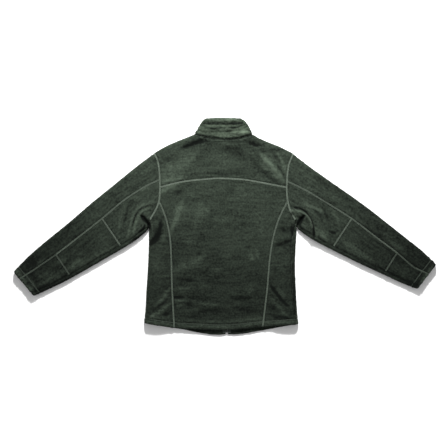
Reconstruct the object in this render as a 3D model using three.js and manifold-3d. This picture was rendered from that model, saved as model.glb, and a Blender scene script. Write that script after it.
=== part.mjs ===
// A fleece jacket lying face down: back panels on top, fronts and zip underneath, collar folded flat.
// Millimetres, +Z up, +Y towards the collar. Every panel is a sheet of cloth with a real thickness,
// rolled round a soft fold at the shoulders, sleeves and sides and cut along the seams.
import * as THREE from "three";
import { mergeVertices } from "three/addons/utils/BufferGeometryUtils.js";
import Module from "manifold-3d";

const wasm = await Module();
wasm.setup();

const wall = 4;
const collarWall = 5.5;
const foldRadius = 9;
const middleHeight = 12;
const lowestTop = 11.2;
const sagLength = 60;
const settleLength = 50;
const seamInset = 0.15;
const seamDepth = 20;
const hemDepth = 22;
const cuffDepth = 26;
const hemStep = 4;

const foldQuarter = (foldRadius * Math.PI) / 2;
const foldSteps = [0, foldQuarter / 3, (foldQuarter * 2) / 3, foldQuarter];
const collarSteps = [0, foldQuarter / 2, foldQuarter];

// A turned edge, from the fold inwards: how far back, and how deep the outer and inner faces lie.
const turnedHem = [
  { back: hemDepth + hemStep, outer: 0, inner: wall },
  { back: hemDepth, outer: 0, inner: 6.5 },
  { back: 3.3, outer: 0, inner: 6.5 },
  { back: 1.2, outer: 0.9, inner: 5.6 },
  { back: 0, outer: 2.7, inner: 3.8 },
];
const turnedCuff = turnedHem.map((row, place) => ({
  ...row,
  back: place < 2 ? row.back + cuffDepth - hemDepth : row.back,
}));
const turnedCollar = [
  { back: 3, outer: 0, inner: collarWall },
  { back: 1.2, outer: 0.8, inner: 4.7 },
  { back: 0, outer: 2.2, inner: 3.3 },
];

// Flat plan of the garment as it lies. Left is the side at -X.
const plan = {
  left: {
    shoulder: [[-100, 697], [-152, 677], [-207, 653], [-247, 628]],
    collarSide: [[-100, 697], [-86, 722], [-73, 744], [-58, 757]],
    armhole: [[-247, 628], [-234, 601], [-228, 560], [-226, 503], [-229, 451], [-244, 414],
      [-262, 383], [-266, 355]],
    frontArmhole: [[-247, 628], [-220, 562], [-213, 492], [-226, 426], [-252, 381], [-266, 355]],
    side: [[-266, 355], [-266, 307], [-270, 211], [-276, 122], [-279, 56], [-285, 0]],
    princess: [[-229, 451], [-204, 388], [-189, 318], [-184, 237], [-181, 130], [-173, -18]],
    yokeEnd: [-226, 502],
    frontNeck: [[10, 627], [-33, 638], [-74, 666], [-100, 697]],
    frontCollarTop: [[10, 710], [-30, 725], [-58, 757]],
    sleeve: [
      { upper: [-247, 628], seam: [-228, 530], lower: [-266, 355] },
      { upper: [-305, 586], seam: [-287, 501], lower: [-279, 336] },
      { upper: [-392, 515], seam: [-363, 451], lower: [-316, 305] },
      { upper: [-481, 443], seam: [-440, 386], lower: [-363, 275] },
      { upper: [-564, 371], seam: [-525, 319], lower: [-457, 221] },
      { upper: [-647, 304], seam: [-611, 253], lower: [-551, 167] },
      { upper: [-709, 251], seam: [-677, 207], lower: [-622, 131] },
      { upper: [-767, 191], seam: [-743, 162], lower: [-691, 100] },
    ],
  },
  right: {
    shoulder: [[118, 697], [155, 677], [215, 654], [265, 628]],
    collarSide: [[118, 697], [108, 722], [94, 744], [76, 757]],
    armhole: [[265, 628], [250, 583], [244, 530], [244, 471], [253, 424], [264, 401],
      [276, 380], [280, 357]],
    frontArmhole: [[265, 628], [237, 562], [229, 492], [242, 426], [266, 381], [280, 357]],
    side: [[280, 357], [278, 307], [274, 226], [276, 144], [280, 67], [286, -4]],
    princess: [[246, 450], [215, 388], [191, 307], [179, 223], [170, 118], [154, -14]],
    sideSeam: [[262, 307], [259, 237], [265, 118], [272, 41], [279, -4]],
    yokeEnd: [244, 501],
    frontNeck: [[10, 627], [56, 638], [96, 666], [118, 697]],
    frontCollarTop: [[10, 710], [48, 725], [76, 757]],
    sleeve: [
      { upper: [265, 628], seam: [247, 522], lower: [280, 357] },
      { upper: [326, 580], seam: [307, 494], lower: [298, 336] },
      { upper: [424, 511], seam: [403, 437], lower: [352, 300] },
      { upper: [521, 443], seam: [483, 386], lower: [407, 272] },
      { upper: [605, 378], seam: [567, 322], lower: [501, 225] },
      { upper: [687, 313], seam: [651, 259], lower: [599, 180] },
      { upper: [743, 269], seam: [710, 209], lower: [662, 150] },
      { upper: [796, 218], seam: [767, 181], lower: [725, 126] },
    ],
  },
  backNeck: [[-100, 697], [-56, 688], [4, 681], [59, 682], [89, 689], [118, 697]],
  collarTop: [[-58, 757], [-26, 759], [33, 759], [76, 757]],
  yokeSeam: [[-139, 523], [-51, 532], [-4, 535], [85, 530], [173, 515]],
  backHem: [[-285, 0], [-173, -18], [-78, -23], [21, -26], [154, -14], [286, -4]],
  frontHem: [[-285, 0], [-166, -20], [-78, -37], [-18, -45], [21, -42], [63, -43], [152, -28],
    [286, -4]],
};
// Shares of the sleeve's length: the two elbow seams, and where the armhole's curve has died away.
const elbowTop = 3 / 7;
const elbowBottom = 5 / 7;
const bulgeEnd = 0.38;

// How many columns or rows of cloth lie between two folds or seams.
const gridParts = {
  sleeveUpper: 3,
  sleeveUnder: 6,
  backNeck: 5,
  frontNeck: 4,
  shoulder: 6,
  side: 9,
  leftHem: 4,
  collar: 4,
  armpitLead: 5,
};

// Soft folds in the upper layer. left and right are the widths on either side of the path.
const creases = [
  { path: [[259, 424], [289, 418], [313, 404], [334, 380], [343, 348], [342, 320]],
    left: 30, right: 12, rise: 7 },
  { path: [[-252, 440], [-288, 421], [-318, 374], [-322, 330]], left: 14, right: 24, rise: 5 },
  { path: [[-215, 601], [-178, 611], [-133, 638], [-80, 672]], left: 14, right: 12, rise: -3 },
  { path: [[107, 668], [152, 655]], left: 14, right: 12, rise: -3 },
  { path: [[128, 640], [182, 584], [240, 518]], left: 18, right: 14, rise: 4.5 },
  { path: [[-206, 590], [-214, 506]], left: 16, right: 14, rise: 3.5 },
  { path: [[-168, 505], [-214, 470]], left: 20, right: 16, rise: 3 },
  { path: [[-246, 345], [-250, 300]], left: 14, right: 14, rise: -3 },
  { path: [[200, 286], [259, 303]], left: 14, right: 14, rise: -2.5 },
  { path: [[-155, 215], [-80, 240], [-20, 250]], left: 26, right: 22, rise: 2.5 },
  { path: [[-262, 48], [-185, 100]], left: 16, right: 16, rise: 2.5 },
  { path: [[178, 120], [255, 34]], left: 16, right: 16, rise: 2.5 },
  { path: [[-170, 96], [-80, 88]], left: 12, right: 14, rise: -2 },
  { path: [[-430, 340], [-368, 300]], left: 18, right: 18, rise: 3 },
  { path: [[445, 360], [398, 300]], left: 18, right: 18, rise: 3 },
  { path: [[-285, 8], [-173, -8], [-78, -13], [21, -16], [154, -4], [286, 6]],
    left: 26, right: 26, rise: 3.4 },
  { path: [[-60, 722], [10, 716], [80, 722]], left: 32, right: 32, rise: 3.5 },
  { path: [[-750, 174], [-706, 122]], left: 32, right: 32, rise: 8 },
  { path: [[778, 200], [744, 152]], left: 32, right: 32, rise: 8 },
  { path: [[-268, 22], [-236, -6]], left: 34, right: 34, rise: 9 },
  { path: [[268, 20], [238, -8]], left: 34, right: 34, rise: 9 },
];

const zip = {
  bottom: [21, -41],
  top: [10, 708],
  clothHalfGap: 5.2,
  chainHalf: 2.9,
  chainLow: 2.4,
  chainHigh: 5,
  tapeInner: 3.2,
  tapeOuter: 15,
  tapeLow: wall + 0.3,
  tapeThick: 0.8,
  endMargin: 4,
};
// How much the zip is raised over the cloth that it is sewn to, along its length.
const zipRises = [
  { at: -38, rise: 2.5 },
  { at: -10, rise: 2.5 },
  { at: -2, rise: 0 },
  { at: 160, rise: 0 },
  { at: 320, rise: 0 },
  { at: 480, rise: 0 },
  { at: 614, rise: 0 },
  { at: 622, rise: 1.5 },
  { at: 704, rise: 1.5 },
];

const colours = {
  fleece: 0x35423b,
  fleeceLight: 0x3a4840,
  collar: 0x3c4a3f,
  tape: 0x232a27,
  chain: 0x1f2422,
  metal: 0x4a4d4c,
};

function vec(pair) {
  return new THREE.Vector2(pair[0], pair[1]);
}

function spline(pairs) {
  return new THREE.SplineCurve(pairs.map(vec));
}

function mix(a, b, share) {
  return a + (b - a) * share;
}

function fractionNear(curve, pair) {
  const steps = 400;
  const target = vec(pair);
  let best = 0;
  let bestGap = Infinity;
  for (let step = 0; step <= steps; step += 1) {
    const gap = curve.getPointAt(step / steps).distanceTo(target);
    if (gap < bestGap) {
      bestGap = gap;
      best = step / steps;
    }
  }
  return best;
}

// Distances along a length: close steps beside a fold at either end, even steps between.
function spacing(length, startSteps, endSteps, parts) {
  const start = startSteps[startSteps.length - 1];
  const end = length - endSteps[endSteps.length - 1];
  const between = [];
  for (let part = 1; part < parts; part += 1) {
    between.push(mix(start, end, part / parts));
  }
  return [...startSteps, ...between, ...endSteps.map((step) => length - step).reverse()];
}

function sample(curve, distances) {
  const length = curve.getLength();
  return distances.map((distance) => curve.getPointAt(THREE.MathUtils.clamp(distance / length, 0, 1)));
}

const sides = {};
for (const name of ["left", "right"]) {
  const rows = plan[name];
  const sleeveUpper = spline(rows.sleeve.map((row) => row.upper));
  const sleeveLower = spline(rows.sleeve.map((row) => row.lower));
  const armhole = spline(rows.armhole);
  const seamShare = fractionNear(armhole, rows.sleeve[0].seam);
  const seamStart = armhole.getPointAt(seamShare);
  const sleeveSeam = spline([[seamStart.x, seamStart.y], ...rows.sleeve.slice(1).map((row) => row.seam)]);
  sides[name] = {
    rows,
    sleeveUpper,
    sleeveLower,
    sleeveSeam,
    armhole,
    seamShare,
    frontArmhole: spline(rows.frontArmhole),
    shoulder: spline(rows.shoulder),
    collarSide: spline(rows.collarSide),
    side: spline(rows.side),
  };
}

// The lines where the cloth folds from the upper layer to the lower one, with their inward normals.
const foldSegments = [];

function addFold(curves, turn) {
  const points = curves.flatMap((curve, index) => curve.slice(index === 0 ? 0 : 1));
  const normals = points.map((point, index) => {
    const before = points[Math.max(index - 1, 0)];
    const after = points[Math.min(index + 1, points.length - 1)];
    const along = after.clone().sub(before).normalize();
    return new THREE.Vector2(-along.y * turn, along.x * turn);
  });
  for (let index = 0; index + 1 < points.length; index += 1) {
    foldSegments.push({
      from: points[index],
      to: points[index + 1],
      normals: [normals[index], normals[index + 1]],
    });
  }
}

const foldPieces = 40;
for (const [name, turn] of [["left", 1], ["right", -1]]) {
  const { collarSide, shoulder, sleeveUpper, sleeveLower, side } = sides[name];
  addFold([collarSide.getPoints(foldPieces).reverse(), shoulder.getPoints(foldPieces),
    sleeveUpper.getPoints(foldPieces)], turn);
  addFold([sleeveLower.getPoints(foldPieces).reverse(), side.getPoints(foldPieces)], turn);
}

function nearestOn(from, to, x, y) {
  const dx = to.x - from.x;
  const dy = to.y - from.y;
  const share = THREE.MathUtils.clamp(
    ((x - from.x) * dx + (y - from.y) * dy) / (dx * dx + dy * dy), 0, 1);
  const foot = new THREE.Vector2(from.x + dx * share, from.y + dy * share);
  return {
    share,
    foot,
    distance: Math.hypot(x - foot.x, y - foot.y),
    cross: dx * (y - from.y) - dy * (x - from.x),
  };
}

function nearestFold(x, y) {
  let best = null;
  for (const segment of foldSegments) {
    const near = nearestOn(segment.from, segment.to, x, y);
    if (best === null || near.distance < best.distance) {
      best = { ...near, segment };
    }
  }
  const normal = best.segment.normals[0].clone().lerp(best.segment.normals[1], best.share).normalize();
  const touching = 0.5;
  if (best.distance > touching) {
    normal.set(x - best.foot.x, y - best.foot.y).normalize();
  }
  return { foot: best.foot, distance: best.distance, normal };
}

// The plan moves in by this much where the cloth has run that far from the fold's outermost line.
function inwardOf(run, radius) {
  if (run <= foldQuarter) {
    return foldRadius - radius * Math.cos(run / foldRadius);
  }
  if (run >= settleLength) {
    return run;
  }
  return foldRadius + ((run - foldQuarter) * (settleLength - foldRadius)) / (settleLength - foldQuarter);
}

// A point seen in plan, as the point on the flat cloth that comes to lie there.
function toCloth(pair) {
  const near = nearestFold(pair[0], pair[1]);
  let run = near.distance;
  if (near.distance < foldRadius) {
    run = foldRadius * Math.acos(1 - near.distance / foldRadius);
  } else if (near.distance < settleLength) {
    run = foldQuarter
      + ((near.distance - foldRadius) * (settleLength - foldQuarter)) / (settleLength - foldRadius);
  }
  return [near.foot.x + near.normal.x * run, near.foot.y + near.normal.y * run];
}

function creaseLift(x, y) {
  let lift = 0;
  for (const crease of creases) {
    let best = null;
    for (let index = 0; index + 1 < crease.path.length; index += 1) {
      const near = nearestOn(vec(crease.path[index]), vec(crease.path[index + 1]), x, y);
      if (best === null || near.distance < best.distance) {
        best = near;
      }
    }
    const width = best.cross > 0 ? crease.left : crease.right;
    lift += crease.rise * Math.exp(-((best.distance / width) ** 2));
  }
  return lift;
}

function upperHeight(x, y, run) {
  const settled = Math.max(run - foldQuarter, 0) / sagLength;
  const loft = middleHeight + (2 * foldRadius - middleHeight) * Math.exp(-(settled ** 2));
  return Math.max(loft + creaseLift(x, y), lowestTop);
}

// The place in space of one point of the cloth, this deep below its outer face.
function lay(point, depth) {
  const near = nearestFold(point.x, point.y);
  const radius = foldRadius - depth;
  const turn = (Math.min(near.distance / foldQuarter, 1) * Math.PI) / 2;
  const inward = inwardOf(near.distance, radius);
  const x = near.foot.x + near.normal.x * inward;
  const y = near.foot.y + near.normal.y * inward;
  if (point.layer === "under") {
    return [x, y, foldRadius - radius * Math.sin(turn)];
  }
  const lift = (upperHeight(point.x, point.y, near.distance) - 2 * foldRadius) * Math.sin(turn) ** 2;
  return [x, y, foldRadius + radius * Math.sin(turn) + lift];
}

function shares(points) {
  const result = [0];
  for (let index = 1; index < points.length; index += 1) {
    result.push(result[index - 1] + points[index].distanceTo(points[index - 1]));
  }
  return result.map((value) => value / result[result.length - 1]);
}

// A grid of cloth points between four edges: rows run from top to bottom, columns from left to right.
function patch(layer, top, bottom, left, right) {
  const topShares = shares(top);
  const bottomShares = shares(bottom);
  const leftShares = shares(left);
  const rightShares = shares(right);
  const lastColumn = top.length - 1;
  return left.map((leftPoint, row) => top.map((topPoint, column) => {
    const v = (leftShares[row] + rightShares[row]) / 2;
    const u = mix(topShares[column], bottomShares[column], v);
    const value = (axis) => (1 - v) * topPoint[axis] + v * bottom[column][axis]
      + (1 - u) * leftPoint[axis] + u * right[row][axis]
      - (1 - u) * (1 - v) * top[0][axis] - u * (1 - v) * top[lastColumn][axis]
      - (1 - u) * v * bottom[0][axis] - u * v * bottom[lastColumn][axis];
    return { x: value("x"), y: value("y"), layer, outer: 0, inner: wall };
  }));
}

// Rows of two grids joined across a fold: the shared column is kept once.
function joinAcross(first, second) {
  return first.map((row, index) => [...row, ...second[index].slice(1)]);
}

function transpose(grid) {
  return grid[0].map((_, column) => grid.map((row) => row[column]));
}

// Moves the points of one edge in from the seam, square to it.
function insetEdge(edge, next) {
  const moves = edge.map((point, index) => {
    const before = edge[index - 1];
    const after = edge[index + 1];
    const from = before !== undefined && before.layer === point.layer ? before : point;
    const to = after !== undefined && after.layer === point.layer ? after : point;
    const along = new THREE.Vector2(to.x - from.x, to.y - from.y).normalize();
    const across = new THREE.Vector2(-along.y, along.x);
    const inner = next[index];
    const facing = Math.sign(across.x * (inner.x - point.x) + across.y * (inner.y - point.y)) || 1;
    return across.multiplyScalar(facing * seamInset);
  });
  return () => edge.forEach((point, index) => {
    point.x += moves[index].x;
    point.y += moves[index].y;
  });
}

function insetSeams(grid, seams) {
  const columns = transpose(grid);
  const last = grid.length - 1;
  const lastColumn = columns.length - 1;
  const moves = [];
  if (seams.includes("top")) {
    moves.push(insetEdge(grid[0], grid[1]));
  }
  if (seams.includes("bottom")) {
    moves.push(insetEdge(grid[last], grid[last - 1]));
  }
  if (seams.includes("left")) {
    moves.push(insetEdge(columns[0], columns[1]));
  }
  if (seams.includes("right")) {
    moves.push(insetEdge(columns[lastColumn], columns[lastColumn - 1]));
  }
  moves.forEach((move) => move());
}

// The last rows of a grid take the depths of a turned edge.
function turnEdge(grid, profile) {
  profile.forEach((step, index) => {
    for (const point of grid[grid.length - profile.length + index]) {
      point.outer = step.outer;
      point.inner = step.inner;
    }
  });
}

// A geometry whose faces point out of the solid.
function faceOut(positions, triangles) {
  const corner = (index) => new THREE.Vector3().fromArray(positions, index * 3);
  let volume = 0;
  for (let index = 0; index < triangles.length; index += 3) {
    const [a, b, c] = triangles.slice(index, index + 3).map(corner);
    volume += a.dot(b.cross(c));
  }
  const geometry = new THREE.BufferGeometry();
  geometry.setAttribute("position", new THREE.Float32BufferAttribute(positions, 3));
  geometry.setIndex(volume < 0 ? [...triangles].reverse() : triangles);
  geometry.computeVertexNormals();
  return geometry;
}

function rimKey(point) {
  const skew = 0.37;
  return point.y + point.x * skew;
}

// One closed solid from grids of cloth points that share points where they join.
function sheetSolid(grids) {
  const order = new Map();
  const quads = [];
  for (const { grid, flipped } of grids) {
    for (let row = 0; row + 1 < grid.length; row += 1) {
      for (let column = 0; column + 1 < grid[row].length; column += 1) {
        const corners = [grid[row][column], grid[row + 1][column], grid[row + 1][column + 1],
          grid[row][column + 1]];
        quads.push(flipped ? corners.reverse() : corners);
      }
    }
  }
  const positions = [];
  for (const point of quads.flat()) {
    if (!order.has(point)) {
      order.set(point, order.size);
      positions.push(...lay(point, point.outer), ...lay(point, point.inner));
    }
  }
  const outer = (point) => order.get(point) * 2;
  const inner = (point) => order.get(point) * 2 + 1;
  const triangles = [];
  const edges = new Map();
  for (const [a, b, c, d] of quads) {
    triangles.push(outer(a), outer(b), outer(c), outer(a), outer(c), outer(d));
    triangles.push(inner(a), inner(c), inner(b), inner(a), inner(d), inner(c));
    for (const [from, to] of [[a, b], [b, c], [c, d], [d, a]]) {
      const back = `${order.get(to)} ${order.get(from)}`;
      if (edges.has(back)) {
        edges.delete(back);
      } else {
        edges.set(`${order.get(from)} ${order.get(to)}`, [from, to]);
      }
    }
  }
  // Both sides of a seam split their rims along the same diagonal, so twisted rims never cross.
  for (const [from, to] of edges.values()) {
    if (rimKey(from) < rimKey(to)) {
      triangles.push(outer(from), inner(from), inner(to), outer(from), inner(to), outer(to));
    } else {
      triangles.push(outer(from), inner(from), outer(to), inner(from), inner(to), outer(to));
    }
  }
  return faceOut(positions, triangles);
}

const garment = new THREE.Group();
garment.name = "garment";

function addPiece(name, geometry, colour, roughness = 0.95, metalness = 0) {
  const material = new THREE.MeshStandardMaterial({ color: colour, roughness, metalness });
  const piece = new THREE.Mesh(geometry, material);
  piece.name = name;
  garment.add(piece);
  return piece;
}

// Sleeve stations run from the armhole (0) to the cuff (1), over this length of sleeve.
const sleeveLength = 581;
const sleeveParts = { upper: 8, elbow: 5, forearm: 3 };
const stations = [];
for (let part = 0; part < sleeveParts.upper; part += 1) {
  stations.push((elbowTop * part) / sleeveParts.upper);
}
for (let part = 0; part < sleeveParts.elbow; part += 1) {
  stations.push(mix(elbowTop, elbowBottom, part / sleeveParts.elbow));
}
for (let part = 0; part < sleeveParts.forearm; part += 1) {
  stations.push(mix(elbowBottom, 1 - turnedCuff[0].back / sleeveLength, part / sleeveParts.forearm));
}
stations.push(...turnedCuff.map((step) => 1 - step.back / sleeveLength));
const elbowRows = [sleeveParts.upper, sleeveParts.upper + sleeveParts.elbow];

function bulgeDecay(station) {
  return Math.max(1 - station / bulgeEnd, 0) ** 2;
}

// One run of cloth across the sleeve, between two of its long lines, that starts as the armhole does.
function sleeveRun(start, end, armhole, fromShare, toShare) {
  const armholeStart = armhole.getPointAt(fromShare);
  const armholeEnd = armhole.getPointAt(toShare);
  const chord = armholeStart.distanceTo(armholeEnd);
  const arc = armhole.getLength() * Math.abs(toShare - fromShare);
  return {
    length(station) {
      const across = start.getPoint(station).distanceTo(end.getPoint(station));
      return across + (arc - chord) * bulgeDecay(station);
    },
    point(station, share) {
      const straight = start.getPoint(station).lerp(end.getPoint(station), share);
      const curved = armhole.getPointAt(mix(fromShare, toShare, share));
      curved.sub(armholeStart.clone().lerp(armholeEnd, share));
      return straight.addScaledVector(curved, bulgeDecay(station));
    },
  };
}

function runGrid(layer, run, sharesAt) {
  return stations.map((station) => sharesAt(station).map((share) => {
    const point = run.point(station, share);
    return { x: point.x, y: point.y, layer, outer: 0, inner: wall };
  }));
}

// Columns between the places where body seams meet the sleeve's back edge.
const jointParts = { toYoke: 1, toPrincess: 2, toUnderarm: 4 };
const joints = {
  yoke: jointParts.toYoke,
  princess: jointParts.toYoke + jointParts.toPrincess,
  under: jointParts.toYoke + jointParts.toPrincess + jointParts.toUnderarm,
};

for (const name of ["left", "right"]) {
  const side = sides[name];
  const { armhole, frontArmhole, seamShare } = side;
  const upperRun = sleeveRun(side.sleeveUpper, side.sleeveSeam, armhole, 0, seamShare);
  const lowerRun = sleeveRun(side.sleeveSeam, side.sleeveLower, armhole, seamShare, 1);
  const underRun = sleeveRun(side.sleeveUpper, side.sleeveLower, frontArmhole, 0, 1);
  const seamSteps = [...foldSteps, seamDepth];

  const upperShares = (station) => {
    const length = upperRun.length(station);
    return spacing(length, foldSteps, [0], gridParts.sleeveUpper).map((distance) => distance / length);
  };
  const jointShares = [seamShare, fractionNear(armhole, side.rows.yokeEnd),
    fractionNear(armhole, side.rows.princess[0])].map((share) => (share - seamShare) / (1 - seamShare));
  const backShares = (station) => {
    const underShare = 1 - seamDepth / lowerRun.length(station);
    const scale = underShare / (1 - seamDepth / lowerRun.length(0));
    const jointsHere = [...jointShares.map((share) => share * scale), underShare];
    const result = [0];
    Object.values(jointParts).forEach((parts, index) => {
      for (let part = 1; part <= parts; part += 1) {
        result.push(mix(jointsHere[index], jointsHere[index + 1], part / parts));
      }
    });
    return result;
  };
  const lowerShares = (station) => {
    const length = lowerRun.length(station);
    return [...seamSteps].reverse().map((distance) => 1 - distance / length);
  };
  const underShares = (station) => {
    const length = underRun.length(station);
    return spacing(length, foldSteps, seamSteps, gridParts.sleeveUnder)
      .map((distance) => distance / length);
  };

  const upperGrid = runGrid("top", upperRun, upperShares);
  const backGrid = runGrid("top", lowerRun, backShares);
  const lowerGrid = runGrid("top", lowerRun, lowerShares);
  const underGrid = runGrid("under", underRun, underShares);
  const plain = (point) => new THREE.Vector2(point.x, point.y);
  side.armholeTop = upperGrid[0].map(plain);
  side.armholeBack = backGrid[0].map(plain);
  side.armholeLow = lowerGrid[0].map(plain);
  side.armholeUnder = underGrid[0].map(plain);

  const reversed = (grid) => grid.map((row) => [...row].reverse());
  const main = joinAcross(joinAcross(reversed(upperGrid), underGrid), reversed(lowerGrid));
  main.forEach((row) => {
    row[upperGrid[0].length - 1].layer = "top";
    row[upperGrid[0].length + underGrid[0].length - 2].layer = "top";
  });
  turnEdge(main, turnedCuff);
  insetSeams(main, ["top", "left", "right"]);
  addPiece(`sleeve_main_${name}`, sheetSolid([{ grid: main }]), colours.fleece);

  const cuts = [0, ...elbowRows, stations.length - 1];
  ["sleeve_back_upper", "sleeve_elbow", "sleeve_forearm"].forEach((piece, index) => {
    const grid = backGrid.slice(cuts[index], cuts[index + 1] + 1)
      .map((row) => row.map((point) => ({ ...point })));
    const atCuff = piece === "sleeve_forearm";
    if (atCuff) {
      turnEdge(grid, turnedCuff);
    }
    insetSeams(grid, atCuff ? ["top", "left", "right"] : ["top", "left", "right", "bottom"]);
    addPiece(`${piece}_${name}`, sheetSolid([{ grid }]), colours.fleeceLight);
  });
}

// Body seams that two panels share, sampled once.
function downTo(curve) {
  const length = curve.getLength();
  const last = length - turnedHem[0].back;
  const distances = [];
  for (let part = 0; part < gridParts.side; part += 1) {
    distances.push((last * part) / gridParts.side);
  }
  distances.push(...turnedHem.map((step) => length - step.back));
  return sample(curve, distances);
}

function slide(curve, from, to, count) {
  return Array.from({ length: count + 1 }, (_, part) => curve.getPointAt(mix(from, to, part / count)));
}

function atShares(curve, from, to, list) {
  return list.map((share) => curve.getPointAt(mix(from, to, share)));
}

const backHem = spline(plan.backHem);
const frontHem = spline(plan.frontHem);
const neck = spline(plan.backNeck);
const backNeckSteps = spacing(neck.getLength(), collarSteps, collarSteps, gridParts.backNeck);
const backNeckPoints = sample(neck, backNeckSteps);

for (const name of ["left", "right"]) {
  const side = sides[name];
  const atPrincess = side.armholeBack[joints.princess];
  side.princess = downTo(spline([[atPrincess.x, atPrincess.y], ...side.rows.princess.slice(1)]));
  side.shoulderPoints = slide(side.shoulder, 0, 1, gridParts.shoulder);
  side.sideEdge = downTo(side.side);
  side.armholeToYoke = [...side.armholeTop, ...side.armholeBack.slice(1, joints.yoke + 1)];
  side.yokeToPrincess = side.armholeBack.slice(joints.yoke, joints.princess + 1);
  side.princessToUnder = side.armholeBack.slice(joints.princess, joints.under + 1);
  const under = side.armholeUnder;
  side.gusset = under.slice(under.length - foldSteps.length - 1).reverse();
}

const left = sides.left;
const right = sides.right;

// Back yoke, from the shoulder folds and the neck down to the curved yoke seam.
const yokeTop = [...[...left.shoulderPoints].reverse(), ...backNeckPoints.slice(1),
  ...right.shoulderPoints.slice(1)];
const lastOf = (list) => list[list.length - 1];
const yokeLeft = lastOf(left.armholeToYoke);
const yokeRight = lastOf(right.armholeToYoke);
const yokeSeam = spline([[yokeLeft.x, yokeLeft.y], ...plan.yokeSeam, [yokeRight.x, yokeRight.y]]);
const yokeBottom = atShares(yokeSeam, 0, 1, shares(yokeTop));
const yokeGrid = patch("top", yokeTop, yokeBottom, left.armholeToYoke, right.armholeToYoke);
insetSeams(yokeGrid, ["top", "bottom", "left", "right"]);
addPiece("back_yoke", sheetSolid([{ grid: yokeGrid }]), colours.fleece);

// Centre back, between the two princess seams.
const princessAtHem = {
  left: fractionNear(backHem, lastOf(plan.left.princess)),
  right: fractionNear(backHem, lastOf(plan.right.princess)),
};
const centreLeft = [...left.yokeToPrincess, ...left.princess.slice(1)];
const centreRight = [...right.yokeToPrincess, ...right.princess.slice(1)];
const centreBottom = atShares(backHem, princessAtHem.left, princessAtHem.right, shares(yokeBottom));
const centreGrid = patch("top", yokeBottom, centreBottom, centreLeft, centreRight);
turnEdge(centreGrid, turnedHem);
insetSeams(centreGrid, ["top", "left", "right"]);
addPiece("back_center", sheetSolid([{ grid: centreGrid }]), colours.fleeceLight);

// Left side of the back: it rolls round the side fold to a side seam on the underside.
const hemLength = backHem.getLength();
const frontHemLength = frontHem.getLength();
const gussetSteps = [...foldSteps, seamDepth];
const sideSeamLeft = sample(frontHem, [seamDepth])[0];
const gussetStart = lastOf(left.gusset);
const seamPathLeft = spline([[gussetStart.x, gussetStart.y], ...plan.left.side.slice(1, -1)
  .map(([x, y]) => [x + seamDepth, y]), [sideSeamLeft.x, sideSeamLeft.y]]);
left.sideSeam = downTo(seamPathLeft);
const leftTop = [...left.princessToUnder, ...left.armholeLow.slice(1)];
const leftHemLength = princessAtHem.left * hemLength;
const leftHemSteps = spacing(leftHemLength, gussetSteps, [0], gridParts.leftHem).reverse();
const leftUpper = patch("top", leftTop, sample(backHem, leftHemSteps), left.princess, left.sideEdge);
const leftLower = patch("under", left.gusset, sample(frontHem, gussetSteps), left.sideEdge, left.sideSeam);
const leftSideGrid = joinAcross(leftUpper, leftLower);
turnEdge(leftSideGrid, turnedHem);
insetSeams(leftSideGrid, ["top", "left", "right"]);
addPiece("back_side_left", sheetSolid([{ grid: leftSideGrid }]), colours.fleece);

// Right side of the back: its side seam lies on the upper layer, where the front rolls up to it.
const underRight = lastOf(right.princessToUnder);
right.sideSeam = downTo(spline([[underRight.x, underRight.y], ...plan.right.sideSeam.map(toCloth)]));
const seamAtHem = lastOf(right.sideSeam);
const seamShareAtHem = fractionNear(backHem, [seamAtHem.x, seamAtHem.y]);
const rightHem = slide(backHem, princessAtHem.right, seamShareAtHem, right.princessToUnder.length - 1);
rightHem[rightHem.length - 1] = seamAtHem;
const rightSideGrid = patch("top", right.princessToUnder, rightHem, right.princess, right.sideSeam);
turnEdge(rightSideGrid, turnedHem);
insetSeams(rightSideGrid, ["top", "left", "right"]);
addPiece("back_side_right", sheetSolid([{ grid: rightSideGrid }]), colours.fleece);

// The zip runs straight up the middle of the underside.
const zipFoot = vec(zip.bottom);
const zipAlong = vec(zip.top).sub(zipFoot).normalize();
const zipLength = vec(zip.top).distanceTo(zipFoot);

function zipPoint(along, across) {
  return new THREE.Vector2(
    zipFoot.x + zipAlong.x * along + zipAlong.y * across,
    zipFoot.y + zipAlong.y * along - zipAlong.x * across);
}

function alongZip(height) {
  return (height - zipFoot.y) / zipAlong.y;
}

// Below the armpit, the last columns of a front crowd towards the side fold.
function crowdColumns(grid, fromRow, leadRows) {
  grid.forEach((row, index) => {
    const blend = THREE.MathUtils.clamp((index - fromRow + leadRows) / leadRows, 0, 1);
    if (blend === 0) {
      return;
    }
    const points = row.map((point) => new THREE.Vector2(point.x, point.y)).reverse();
    const along = [0];
    for (let step = 1; step < points.length; step += 1) {
      along.push(along[step - 1] + points[step].distanceTo(points[step - 1]));
    }
    const crowded = foldSteps.length;
    const full = lastOf(along);
    row.forEach((point, column) => {
      const back = row.length - 1 - column;
      const even = mix(foldQuarter, full, (back - crowded + 1) / (row.length - crowded));
      const wanted = mix(along[back], back < crowded ? foldSteps[back] : even, blend);
      let step = 1;
      while (step < points.length - 1 && along[step] < wanted) {
        step += 1;
      }
      const share = (wanted - along[step - 1]) / (along[step] - along[step - 1]);
      point.x = mix(points[step - 1].x, points[step].x, share);
      point.y = mix(points[step - 1].y, points[step].y, share);
    });
  });
}

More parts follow.
